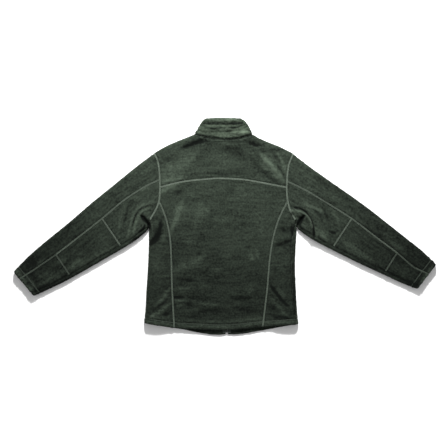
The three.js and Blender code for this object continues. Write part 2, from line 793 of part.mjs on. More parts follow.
const zipHemPoint = plan.frontHem[4];
for (const [name, sign] of [["left", -1], ["right", 1]]) {
  const side = sides[name];
  const under = side.armholeUnder;
  const frontNeck = spline(side.rows.frontNeck);
  const neckShare = zip.clothHalfGap / frontNeck.getLength();
  const neckLength = frontNeck.getLength() * (1 - neckShare);
  side.frontNeckPoints = spacing(neckLength, [0], collarSteps, gridParts.frontNeck)
    .map((distance) => frontNeck.getPointAt(mix(neckShare, 1, distance / neckLength)));
  const wrapsUp = name === "right";
  const armholeEnd = wrapsUp ? under : under.slice(0, under.length - foldSteps.length);
  const edge = wrapsUp ? side.sideEdge : side.sideSeam;
  const outerEdge = [...armholeEnd, ...edge.slice(1)];
  const top = [...side.frontNeckPoints, ...side.shoulderPoints.slice(1)];
  const centreShare = fractionNear(frontHem, [zipPoint(0, sign * zip.clothHalfGap).x, zipHemPoint[1]]);
  const endShare = fractionNear(frontHem, [lastOf(edge).x, lastOf(edge).y]);
  const bottom = atShares(frontHem, centreShare, endShare, shares(top));
  const hemRows = turnedHem.length;
  const edgeShares = shares(outerEdge);
  const centreTop = top[0];
  const centreBottomPoint = bottom[0];
  const centreLength = centreTop.distanceTo(centreBottomPoint);
  const bodyRows = outerEdge.length - hemRows;
  const lastShare = 1 - turnedHem[0].back / centreLength;
  const centre = outerEdge.map((_, row) => {
    const share = row < bodyRows
      ? (edgeShares[row] / edgeShares[bodyRows]) * lastShare
      : 1 - turnedHem[row - bodyRows].back / centreLength;
    return centreTop.clone().lerp(centreBottomPoint, share);
  });
  const grid = patch("under", top, bottom, centre, outerEdge);
  turnEdge(grid, turnedHem);
  const armpitRow = armholeEnd.length - 1;
  if (!wrapsUp) {
    insetSeams(grid, ["top", "right"]);
    addPiece("front_left", sheetSolid([{ grid }]), colours.fleece);
  } else {
    crowdColumns(grid, armpitRow, gridParts.armpitLead);
    const strip = patch("top", [...side.armholeLow].reverse(), sample(frontHem,
      gussetSteps.map((step) => frontHemLength - step)), side.sideEdge, side.sideSeam);
    turnEdge(strip, turnedHem);
    strip.forEach((row, index) => {
      row[0] = lastOf(grid[armpitRow + index]);
      row[0].layer = "top";
    });
    const upperPart = grid.slice(0, armpitRow + 1);
    const corner = { x: strip[0][0].x, y: strip[0][0].y };
    insetSeams(upperPart, ["top", "right"]);
    Object.assign(strip[0][0], corner);
    insetSeams(strip, ["top", "right"]);
    addPiece("front_right", sheetSolid([{ grid }, { grid: strip }]), colours.fleece);
  }
}

// Collar: a doubled band that runs from the zip round the neck and back, folded flat at both sides.
function upTo(curve) {
  const length = curve.getLength();
  const first = length - turnedCollar[0].back;
  const distances = [];
  for (let part = 0; part < gridParts.collar; part += 1) {
    distances.push((first * part) / gridParts.collar);
  }
  distances.push(...turnedCollar.map((step) => length - step.back));
  return sample(curve, distances);
}

const collarTop = spline(plan.collarTop);
const collarSides = { left: upTo(left.collarSide), right: upTo(right.collarSide) };
const collarTopSteps = spacing(collarTop.getLength(), collarSteps, collarSteps, gridParts.backNeck);
const collarBack = patch("top", backNeckPoints, sample(collarTop, collarTopSteps),
  collarSides.left, collarSides.right);
const collarFront = {};
for (const [name, sign] of [["left", -1], ["right", 1]]) {
  const side = sides[name];
  const bottom = side.frontNeckPoints;
  const topCurve = spline(side.rows.frontCollarTop);
  const topShare = zip.clothHalfGap / topCurve.getLength();
  const topLength = topCurve.getLength() * (1 - topShare);
  const top = spacing(topLength, [0], collarSteps, gridParts.frontNeck)
    .map((distance) => topCurve.getPointAt(mix(topShare, 1, distance / topLength)));
  const centre = upTo(new THREE.LineCurve(bottom[0], top[0]));
  collarFront[name] = patch("under", bottom, top, centre, collarSides[name]);
}
const collarGrid = joinAcross(joinAcross(collarFront.left, collarBack),
  collarFront.right.map((row) => [...row].reverse()));
const collarFolds = [collarFront.left[0].length - 1,
  collarFront.left[0].length + collarBack[0].length - 2];
for (const row of collarGrid) {
  for (const column of collarFolds) {
    row[column].layer = "top";
  }
  for (const point of row) {
    point.inner = collarWall;
  }
}
for (const point of collarGrid[0]) {
  point.inner = wall;
}
turnEdge(collarGrid, turnedCollar);
insetSeams(collarGrid, ["top"]);
addPiece("collar", sheetSolid([{ grid: collarGrid }]), colours.collar);

// A strip that follows the zip: across from inner to outer, up from low to high, raised along its way.
function zipStrip(inner, outer, low, high, from, to) {
  const rows = zipRises.map((row) => ({ along: alongZip(row.at), rise: row.rise }));
  rows[0].along = from;
  rows[rows.length - 1].along = to;
  const positions = [];
  for (const { along, rise } of rows) {
    for (const [across, height] of [[inner, low], [outer, low], [outer, high], [inner, high]]) {
      const point = zipPoint(along, across);
      positions.push(point.x, point.y, height + rise);
    }
  }
  const triangles = [0, 1, 2, 0, 2, 3];
  for (let row = 0; row + 1 < rows.length; row += 1) {
    for (let corner = 0; corner < 4; corner += 1) {
      const a = row * 4 + corner;
      const b = row * 4 + ((corner + 1) % 4);
      triangles.push(a, a + 4, b, b, a + 4, b + 4);
    }
  }
  const end = (rows.length - 1) * 4;
  triangles.push(end, end + 2, end + 1, end, end + 3, end + 2);
  return faceOut(positions, triangles);
}

const chain = { startGap: 14, endGap: 16 };
const chainEnd = zipLength - chain.endGap;
for (const [name, sign] of [["left", -1], ["right", 1]]) {
  addPiece(`zip_tape_${name}`, zipStrip(sign * zip.tapeInner, sign * zip.tapeOuter, zip.tapeLow,
    zip.tapeLow + zip.tapeThick, zip.endMargin, zipLength - zip.endMargin), colours.tape, 0.8);
}
addPiece("zip_chain", zipStrip(-zip.chainHalf, zip.chainHalf, zip.chainLow, zip.chainHigh,
  chain.startGap, chainEnd), colours.chain, 0.5);

// A closed geometry as a solid that can be joined and cut.
function toSolid(geometry) {
  geometry.deleteAttribute("normal");
  geometry.deleteAttribute("uv");
  const merged = mergeVertices(geometry);
  return new wasm.Manifold(new wasm.Mesh({
    numProp: 3,
    vertProperties: new Float32Array(merged.attributes.position.array),
    triVerts: new Uint32Array(merged.index.array),
  }));
}

// A box from sizes and its centre, in the zip's own frame: x across, y along, z up.
function block(size, centre) {
  return toSolid(new THREE.BoxGeometry(...size).translate(...centre));
}

function toGeometry(solid) {
  const mesh = solid.getMesh();
  const geometry = new THREE.BufferGeometry();
  const stride = mesh.numProp;
  const positions = [];
  for (let vertex = 0; vertex < mesh.vertProperties.length / stride; vertex += 1) {
    positions.push(...mesh.vertProperties.slice(vertex * stride, vertex * stride + 3));
  }
  geometry.setAttribute("position", new THREE.Float32BufferAttribute(positions, 3));
  geometry.setIndex([...mesh.triVerts]);
  geometry.computeVertexNormals();
  return geometry;
}

function seatOnZip(piece, along, height) {
  const point = zipPoint(along, 0);
  piece.position.set(point.x, point.y, height);
  piece.rotation.z = Math.atan2(-zipAlong.x, zipAlong.y);
}

// Slider: two plates round the chain, joined by the wedge that parts the teeth, and a bail outside.
const collarRise = lastOf(zipRises).rise;
const chainMiddle = (zip.chainLow + zip.chainHigh) / 2 + collarRise;
const plateGap = 3.4;
const plate = { width: 9, length: 13, thick: 0.9 };
const plateOffset = plateGap / 2 + plate.thick / 2;
const flange = { width: 1, height: 0.2 };
const bail = { reach: 1.5, width: 2.2, thick: 0.7, half: 3.4 };
const wedge = { width: 2.4, length: 4 };
const pastChain = 1.5;
const sliderParts = [];
for (const direction of [-1, 1]) {
  sliderParts.push(block([plate.width, plate.length, plate.thick], [0, 0, direction * plateOffset]));
  for (const across of [-1, 1]) {
    sliderParts.push(block([flange.width, plate.length, flange.height + plate.thick / 2],
      [across * (plate.width - flange.width) / 2, 0,
        direction * (plateOffset - plate.thick / 4 - flange.height / 2)]));
  }
}
sliderParts.push(block([wedge.width, wedge.length, plateGap + plate.thick],
  [0, (plate.length - wedge.length) / 2, 0]));
const plateFace = plateOffset + plate.thick / 2;
for (const direction of [-1, 1]) {
  sliderParts.push(block([bail.width, bail.thick, bail.reach + plate.thick],
    [0, direction * bail.half, -plateFace - bail.reach / 2 + plate.thick / 2]));
}
sliderParts.push(block([bail.width, bail.half * 2 + bail.thick, bail.thick],
  [0, 0, -plateFace - bail.reach + bail.thick / 2]));
const sliderSolid = sliderParts.reduce((joined, piece) => joined.add(piece));
const slider = addPiece("zip_slider", toGeometry(sliderSolid), colours.metal, 0.4, 0.8);
const sliderAlong = chainEnd + pastChain;
seatOnZip(slider, sliderAlong, chainMiddle);

// Pull tab: a flat tongue whose round cross bar lies under the bail, clear of it, and turns there.
const pull = { width: 6.4, length: 24, thick: 0.5, barRadius: 0.3, windowWidth: 3.2, window: 6 };
const pullHeight = -plateFace - (bail.reach - bail.thick) / 2;
const barSides = 16;
const bar = new THREE.CylinderGeometry(pull.barRadius, pull.barRadius, pull.width, barSides);
bar.rotateZ(Math.PI / 2);
const tongue = block([pull.width, pull.length, pull.thick], [0, -pull.length / 2, 0]);
const window = block([pull.windowWidth, pull.window * 2, pull.thick * 3], [0, 0, 0]);
const pullTab = addPiece("zip_pull", toGeometry(tongue.subtract(window).add(toSolid(bar))),
  colours.metal, 0.4, 0.8);
seatOnZip(pullTab, sliderAlong, chainMiddle + pullHeight);

// Box at the foot of the zip, where the pin of the other side goes in.
const footBox = { width: 5.8, length: 8, height: 4, low: 4, chainGap: 0.3 };
const footSolid = block([footBox.width, footBox.length, footBox.height], [0, 0, 0]);
const foot = addPiece("zip_box", toGeometry(footSolid), colours.metal, 0.5, 0.6);
seatOnZip(foot, chain.startGap - footBox.length / 2 - footBox.chainGap, footBox.low + footBox.height / 2);

garment.updateMatrixWorld(true);
const bounds = new THREE.Box3().setFromObject(garment, true);
garment.position.set(-(bounds.min.x + bounds.max.x) / 2, -(bounds.min.y + bounds.max.y) / 2, -bounds.min.z);

const jacket = new THREE.Group();
jacket.name = "fleece_jacket";
jacket.add(garment);

export default jacket;
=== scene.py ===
import math
import bpy
import numpy as np
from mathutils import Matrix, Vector
from mathutils.bvhtree import BVHTree
from mathutils.kdtree import KDTree


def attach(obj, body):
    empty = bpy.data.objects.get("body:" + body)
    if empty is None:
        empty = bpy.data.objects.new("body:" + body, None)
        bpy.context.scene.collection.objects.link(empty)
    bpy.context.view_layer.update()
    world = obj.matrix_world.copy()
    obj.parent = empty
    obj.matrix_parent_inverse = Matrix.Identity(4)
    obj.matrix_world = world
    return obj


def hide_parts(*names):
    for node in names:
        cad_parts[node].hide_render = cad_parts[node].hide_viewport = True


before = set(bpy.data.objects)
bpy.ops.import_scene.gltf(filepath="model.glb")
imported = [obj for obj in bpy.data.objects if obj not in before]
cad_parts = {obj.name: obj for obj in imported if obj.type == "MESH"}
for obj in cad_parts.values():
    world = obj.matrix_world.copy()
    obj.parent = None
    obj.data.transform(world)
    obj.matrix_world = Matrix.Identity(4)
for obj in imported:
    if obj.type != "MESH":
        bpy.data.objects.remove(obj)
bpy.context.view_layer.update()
bpy.ops.object.select_all(action="DESELECT")

mm = 0.001

# Flat plan of the jacket in millimetres, back up, -X is the photo's left. The model's origin is planShift away.
planShift = (-14.53, -357.06)
fold = {"radius": 9.0, "settle": 50.0, "middle": 12.0, "sag": 60.0}
plan = {
    "left": {
        "shoulder": [(-100, 697), (-152, 677), (-207, 653), (-247, 628)],
        "collarSide": [(-100, 697), (-86, 722), (-73, 744), (-58, 757)],
        "armhole": [(-247, 628), (-234, 601), (-228, 560), (-226, 503), (-229, 451), (-244, 414),
                    (-262, 383), (-266, 355)],
        "frontArmhole": [(-247, 628), (-220, 562), (-213, 492), (-226, 426), (-252, 381), (-266, 355)],
        "side": [(-266, 355), (-266, 307), (-270, 211), (-276, 122), (-279, 56), (-285, 0)],
        "princess": [(-229, 451), (-204, 388), (-189, 318), (-184, 237), (-181, 130), (-173, -18)],
        "frontNeck": [(10, 627), (-33, 638), (-74, 666), (-100, 697)],
        "sleeveUpper": [(-247, 628), (-305, 586), (-392, 515), (-481, 443), (-564, 371), (-647, 304),
                        (-709, 251), (-767, 191)],
        "sleeveSeam": [(-228, 530), (-287, 501), (-363, 451), (-440, 386), (-525, 319), (-611, 253),
                       (-677, 207), (-743, 162)],
        "sleeveLower": [(-266, 355), (-279, 336), (-316, 305), (-363, 275), (-457, 221), (-551, 167),
                        (-622, 131), (-691, 100)],
    },
    "right": {
        "shoulder": [(118, 697), (155, 677), (215, 654), (265, 628)],
        "collarSide": [(118, 697), (108, 722), (94, 744), (76, 757)],
        "armhole": [(265, 628), (250, 583), (244, 530), (244, 471), (253, 424), (264, 401),
                    (276, 380), (280, 357)],
        "frontArmhole": [(265, 628), (237, 562), (229, 492), (242, 426), (266, 381), (280, 357)],
        "side": [(280, 357), (278, 307), (274, 226), (276, 144), (280, 67), (286, -4)],
        "princess": [(246, 450), (215, 388), (191, 307), (179, 223), (170, 118), (154, -14)],
        "sideSeamTop": (268, 374),
        "sideSeamSeen": [(262, 307), (259, 237), (265, 118), (272, 41), (279, -4)],
        "frontNeck": [(10, 627), (56, 638), (96, 666), (118, 697)],
        "sleeveUpper": [(265, 628), (326, 580), (424, 511), (521, 443), (605, 378), (687, 313),
                        (743, 269), (796, 218)],
        "sleeveSeam": [(247, 522), (307, 494), (403, 437), (483, 386), (567, 322), (651, 259),
                       (710, 209), (767, 181)],
        "sleeveLower": [(280, 357), (298, 336), (352, 300), (407, 272), (501, 225), (599, 180),
                        (662, 150), (725, 126)],
    },
    "backNeck": [(-100, 697), (-56, 688), (4, 681), (59, 682), (89, 689), (118, 697)],
    "collarTop": [(-58, 757), (-26, 759), (33, 759), (76, 757)],
    "yoke": [(-226, 502), (-139, 523), (-51, 532), (-4, 535), (85, 530), (173, 515), (244, 501)],
    "backHem": [(-285, 0), (-173, -18), (-78, -23), (21, -26), (154, -14), (286, -4)],
    "frontHem": [(-285, 0), (-166, -20), (-78, -37), (-18, -45), (21, -42), (63, -43), (152, -28), (286, -4)],
    "zip": [(21, -41), (10, 708)],
}
sideNames = ("left", "right")


def smoothLine(points, pieces=12):
    # Catmull-Rom curve through the plan's points.
    pts = np.array(points, float)
    if len(pts) == 2:
        share = np.linspace(0, 1, pieces * 4 + 1)[:, None]
        return pts[0] * (1 - share) + pts[1] * share
    padded = np.vstack([pts[0], pts, pts[-1]])
    out = []
    for i in range(1, len(padded) - 2):
        p0, p1, p2, p3 = padded[i - 1:i + 3]
        for k in range(pieces):
            t = k / pieces
            v0, v1 = (p2 - p0) * 0.5, (p3 - p1) * 0.5
            out.append((2 * p1 - 2 * p2 + v0 + v1) * t ** 3 + (-3 * p1 + 3 * p2 - 2 * v0 - v1) * t ** 2
                       + v0 * t + p1)
    out.append(pts[-1])
    return np.array(out)


def evenLine(points, step):
    # The same line with points at an even step.
    pts = np.asarray(points, float)
    run = np.concatenate([[0], np.cumsum(np.linalg.norm(np.diff(pts, axis=0), axis=1))])
    count = max(int(round(run[-1] / step)), 1)
    wanted = np.linspace(0, run[-1], count + 1)
    return np.column_stack([np.interp(wanted, run, pts[:, k]) for k in range(pts.shape[1])])


foldLines = []
for sideName, turn in (("left", 1), ("right", -1)):
    rows = plan[sideName]
    upper = np.vstack([smoothLine(rows["collarSide"])[::-1], smoothLine(rows["shoulder"])[1:],
                       smoothLine(rows["sleeveUpper"])[1:]])
    lower = np.vstack([smoothLine(rows["sleeveLower"])[::-1], smoothLine(rows["side"])[1:]])
    for line in (upper, lower):
        along = np.gradient(line, axis=0)
        along /= np.linalg.norm(along, axis=1)[:, None]
        foldLines.append((line, np.column_stack([-along[:, 1], along[:, 0]]) * turn))


def nearestFold(x, y):
    best = None
    for line, normals in foldLines:
        start, way = line[:-1], np.diff(line, axis=0)
        share = np.clip(((x - start[:, 0]) * way[:, 0] + (y - start[:, 1]) * way[:, 1])
                        / (way ** 2).sum(1), 0, 1)
        feet = start + way * share[:, None]
        gaps = np.hypot(x - feet[:, 0], y - feet[:, 1])
        k = int(gaps.argmin())
        if best is None or gaps[k] < best[0]:
            normal = normals[k] * (1 - share[k]) + normals[k + 1] * share[k]
            best = (gaps[k], feet[k], normal)
    gap, foot, normal = best
    if gap > 0.5:
        normal = np.array([x, y]) - foot
    return gap, foot, normal / np.linalg.norm(normal)


def layPoint(x, y, layer, outside=0.0):
    # Where a point of the flat cloth comes to lie, in metres, before its creases; or a place outside it.
    r = fold["radius"]
    quarter = r * math.pi / 2
    gap, foot, normal = nearestFold(x, y)
    turnAngle = min(gap / quarter, 1) * math.pi / 2
    if gap <= quarter:
        inward = r - r * math.cos(gap / r)
    elif gap < fold["settle"]:
        inward = r + (gap - quarter) * (fold["settle"] - r) / (fold["settle"] - quarter)
    else:
        inward = gap
    px, py = foot + normal * (inward - outside * math.cos(turnAngle))
    if layer == "under":
        z = r - (r + outside) * math.sin(turnAngle)
    else:
        settled = max(gap - quarter, 0) / fold["sag"]
        top = fold["middle"] + (2 * r - fold["middle"]) * math.exp(-settled ** 2)
        z = r + (r + outside) * math.sin(turnAngle) + (top - 2 * r) * math.sin(turnAngle) ** 2
    return Vector(((px + planShift[0]) * mm, (py + planShift[1]) * mm, z * mm))


def toCloth(x, y):
    # The point of the flat cloth that comes to lie at this place, as seen from above.
    r = fold["radius"]
    quarter = r * math.pi / 2
    gap, foot, normal = nearestFold(x, y)
    if gap < r:
        run = r * math.acos(1 - gap / r)
    elif gap < fold["settle"]:
        run = quarter + (gap - r) * (fold["settle"] - quarter) / (fold["settle"] - r)
    else:
        run = gap
    return foot + normal * run


def newObject(name, mesh):
    piece = bpy.data.objects.new(name, mesh)
    bpy.context.scene.collection.objects.link(piece)
    return piece


def makeActive(piece):
    bpy.ops.object.select_all(action="DESELECT")
    piece.select_set(True)
    bpy.context.view_layer.objects.active = piece


# Cloth panels: each is its solid's own sheet, made fine enough for creases and pile.
panelSettings = {
    "back_yoke": {"level": 3, "cut": (0.52, 0.2), "area": 0.078},
    "back_center": {"level": 3, "cut": (0.48, 0.565), "area": 0.214},
    "back_side_left": {"level": 3, "cut": (0.16, 0.475), "area": 0.046},
    "back_side_right": {"level": 3, "cut": (0.13, 0.47), "area": 0.039},
    "front_left": {"level": 2, "cut": (0.3, 0.75), "area": 0.18},
    "front_right": {"level": 2, "cut": (0.32, 0.75), "area": 0.177},
    "collar": {"level": 3, "cut": (0.46, 0.085), "area": 0.033},
}
for sideName in sideNames:
    panelSettings["sleeve_main_" + sideName] = {"level": 3, "cut": (0.42, 0.66), "area": 0.175}
    panelSettings["sleeve_back_upper_" + sideName] = {"level": 3, "cut": (0.14, 0.27), "area": 0.029}
    panelSettings["sleeve_elbow_" + sideName] = {"level": 3, "cut": (0.12, 0.25), "area": 0.023}
    panelSettings["sleeve_forearm_" + sideName] = {"level": 3, "cut": (0.1, 0.17), "area": 0.0115}
sharpRim = math.radians(62)


def makePanel(node):
    # A fine sheet on the node's own form, with its cut rims kept crisp.
    piece = newObject("cloth_" + node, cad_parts[node].data.copy())
    piece.data.materials.clear()
    makeActive(piece)
    bpy.ops.object.mode_set(mode="EDIT")
    bpy.ops.mesh.select_all(action="SELECT")
    bpy.ops.mesh.remove_doubles(threshold=0.00002)
    bpy.ops.mesh.tris_convert_to_quads(face_threshold=math.radians(60), shape_threshold=math.radians(80))
    bpy.ops.mesh.select_all(action="DESELECT")
    bpy.ops.mesh.select_mode(type="EDGE")
    bpy.ops.mesh.edges_select_sharp(sharpness=sharpRim)
    bpy.ops.transform.edge_crease(value=1.0)
    bpy.ops.object.mode_set(mode="OBJECT")
    bpy.ops.object.shade_smooth()
    finer = piece.modifiers.new("finer", "SUBSURF")
    finer.levels = finer.render_levels = panelSettings[node]["level"]
    bpy.ops.object.modifier_apply(modifier="finer")
    return piece


panels = {node: makePanel(node) for node in panelSettings}
print("panels made", sum(len(p.data.polygons) for p in panels.values()), "faces")

# Creases that the photo shows, laid over the sheets: path, width on its left and right, rise, all in millimetres.
creaseSettings = [
    {"path": [(-214, 601), (-176, 612), (-133, 640), (-92, 666), (-60, 682)], "left": 7, "right": 6, "rise": -2.4},
    {"path": [(-220, 580), (-190, 592), (-150, 622)], "left": 9, "right": 7, "rise": 1.6},
    {"path": [(107, 667), (130, 660), (152, 655)], "left": 6, "right": 6, "rise": -2.6},
    {"path": [(126, 641), (152, 612), (184, 584), (214, 550), (238, 522)], "left": 9, "right": 8, "rise": 2.6},
    {"path": [(140, 596), (166, 574), (196, 548)], "left": 8, "right": 8, "rise": -1.6},
    {"path": [(196, 606), (210, 580), (224, 548)], "left": 7, "right": 7, "rise": 1.2},
    {"path": [(-208, 586), (-216, 548), (-218, 512)], "left": 8, "right": 8, "rise": 1.8},
    {"path": [(-190, 500), (-214, 482)], "left": 8, "right": 8, "rise": 1.6},
    {"path": [(-160, 506), (-196, 468)], "left": 9, "right": 9, "rise": -1.4},
    {"path": [(-130, 470), (-152, 420), (-166, 360)], "left": 12, "right": 12, "rise": 1.3},
    {"path": [(262, 416), (286, 412), (306, 401), (324, 383), (334, 360), (337, 338), (336, 320)],
     "left": 4, "right": 10, "rise": 5.0},
    {"path": [(262, 428), (289, 424), (316, 408), (337, 384), (346, 358), (347, 324)],
     "left": 5, "right": 3, "rise": -2.6},
    {"path": [(306, 396), (296, 382), (286, 364)], "left": 5, "right": 5, "rise": -5},
    {"path": [(262, 412), (280, 400), (294, 392)], "left": 7, "right": 6, "rise": 2.5},
    {"path": [(366, 352), (372, 326), (390, 300)], "left": 10, "right": 10, "rise": 2.0},
    {"path": [(342, 432), (372, 404), (412, 392)], "left": 10, "right": 8, "rise": 1.6},
    {"path": [(-250, 440), (-281, 426), (-306, 404), (-322, 372), (-330, 338)], "left": 6, "right": 9, "rise": 2.2},
    {"path": [(-256, 419), (-284, 410), (-302, 392), (-309, 366)], "left": 5, "right": 6, "rise": 2.2},
    {"path": [(-292, 394), (-278, 376), (-268, 362)], "left": 4.5, "right": 4.5, "rise": -5},
    {"path": [(-272, 352), (-290, 340), (-310, 326)], "left": 5, "right": 5, "rise": -2.5},
    {"path": [(-344, 372), (-350, 330)], "left": 10, "right": 10, "rise": -1.2},
    {"path": [(-246, 350), (-240, 320), (-250, 300)], "left": 8, "right": 8, "rise": -2.2},
    {"path": [(-252, 286), (-226, 300)], "left": 7, "right": 7, "rise": 1.4},
    {"path": [(204, 288), (232, 296), (262, 304)], "left": 7, "right": 6, "rise": -2.2},
    {"path": [(214, 310), (252, 322)], "left": 9, "right": 9, "rise": 1.3},
    {"path": [(-170, 97), (-130, 92), (-78, 94)], "left": 6, "right": 7, "rise": -1.5},
    {"path": [(-172, 70), (-120, 78), (-60, 66), (-24, 62)], "left": 8, "right": 8, "rise": 1.5},
    {"path": [(-262, 44), (-224, 64), (-182, 82)], "left": 8, "right": 9, "rise": 1.6},
    {"path": [(-258, 78), (-214, 100), (-184, 126)], "left": 9, "right": 9, "rise": 1.4},
    {"path": [(-244, 40), (-196, 34)], "left": 9, "right": 9, "rise": -1.6},
    {"path": [(180, 122), (204, 96), (232, 66), (262, 44)], "left": 8, "right": 9, "rise": 1.5},
    {"path": [(184, 96), (212, 66)], "left": 8, "right": 7, "rise": -1.3},
    {"path": [(-150, 214), (-104, 226), (-62, 246)], "left": 14, "right": 10, "rise": 1.2},
    {"path": [(-150, 180), (-80, 176), (-10, 184)], "left": 12, "right": 12, "rise": -1.0},
    {"path": [(-72, 736), (-20, 731), (40, 734)], "left": 4.5, "right": 4.5, "rise": -2.2},
    {"path": [(-80, 716), (-40, 722), (0, 714), (44, 718), (78, 738)], "left": 5, "right": 5, "rise": 1.8},
    {"path": [(-84, 709), (-52, 703), (-8, 706)], "left": 4.5, "right": 4.5, "rise": -1.8},
    {"path": [(20, 706), (58, 709), (100, 726)], "left": 4.5, "right": 4.5, "rise": -2.4},
    {"path": [(40, 697), (78, 703), (106, 708)], "left": 5, "right": 5, "rise": 2.2},
    {"path": [(-448, 300), (-420, 330), (-410, 352)], "left": 10, "right": 10, "rise": 1.4},
    {"path": [(-560, 270), (-520, 250), (-480, 246)], "left": 12, "right": 10, "rise": 1.6},
    {"path": [(-640, 190), (-600, 196), (-560, 214)], "left": 9, "right": 9, "rise": -1.4},
    {"path": [(-700, 186), (-672, 160), (-660, 132)], "left": 9, "right": 9, "rise": 1.4},
    {"path": [(452, 372), (440, 330), (446, 296)], "left": 10, "right": 10, "rise": 1.6},
    {"path": [(520, 320), (560, 280), (600, 262)], "left": 12, "right": 10, "rise": 1.6},
    {"path": [(640, 240), (668, 214), (700, 200)], "left": 9, "right": 9, "rise": -1.4},
    {"path": [(716, 226), (734, 190), (738, 168)], "left": 9, "right": 9, "rise": 1.4},
]


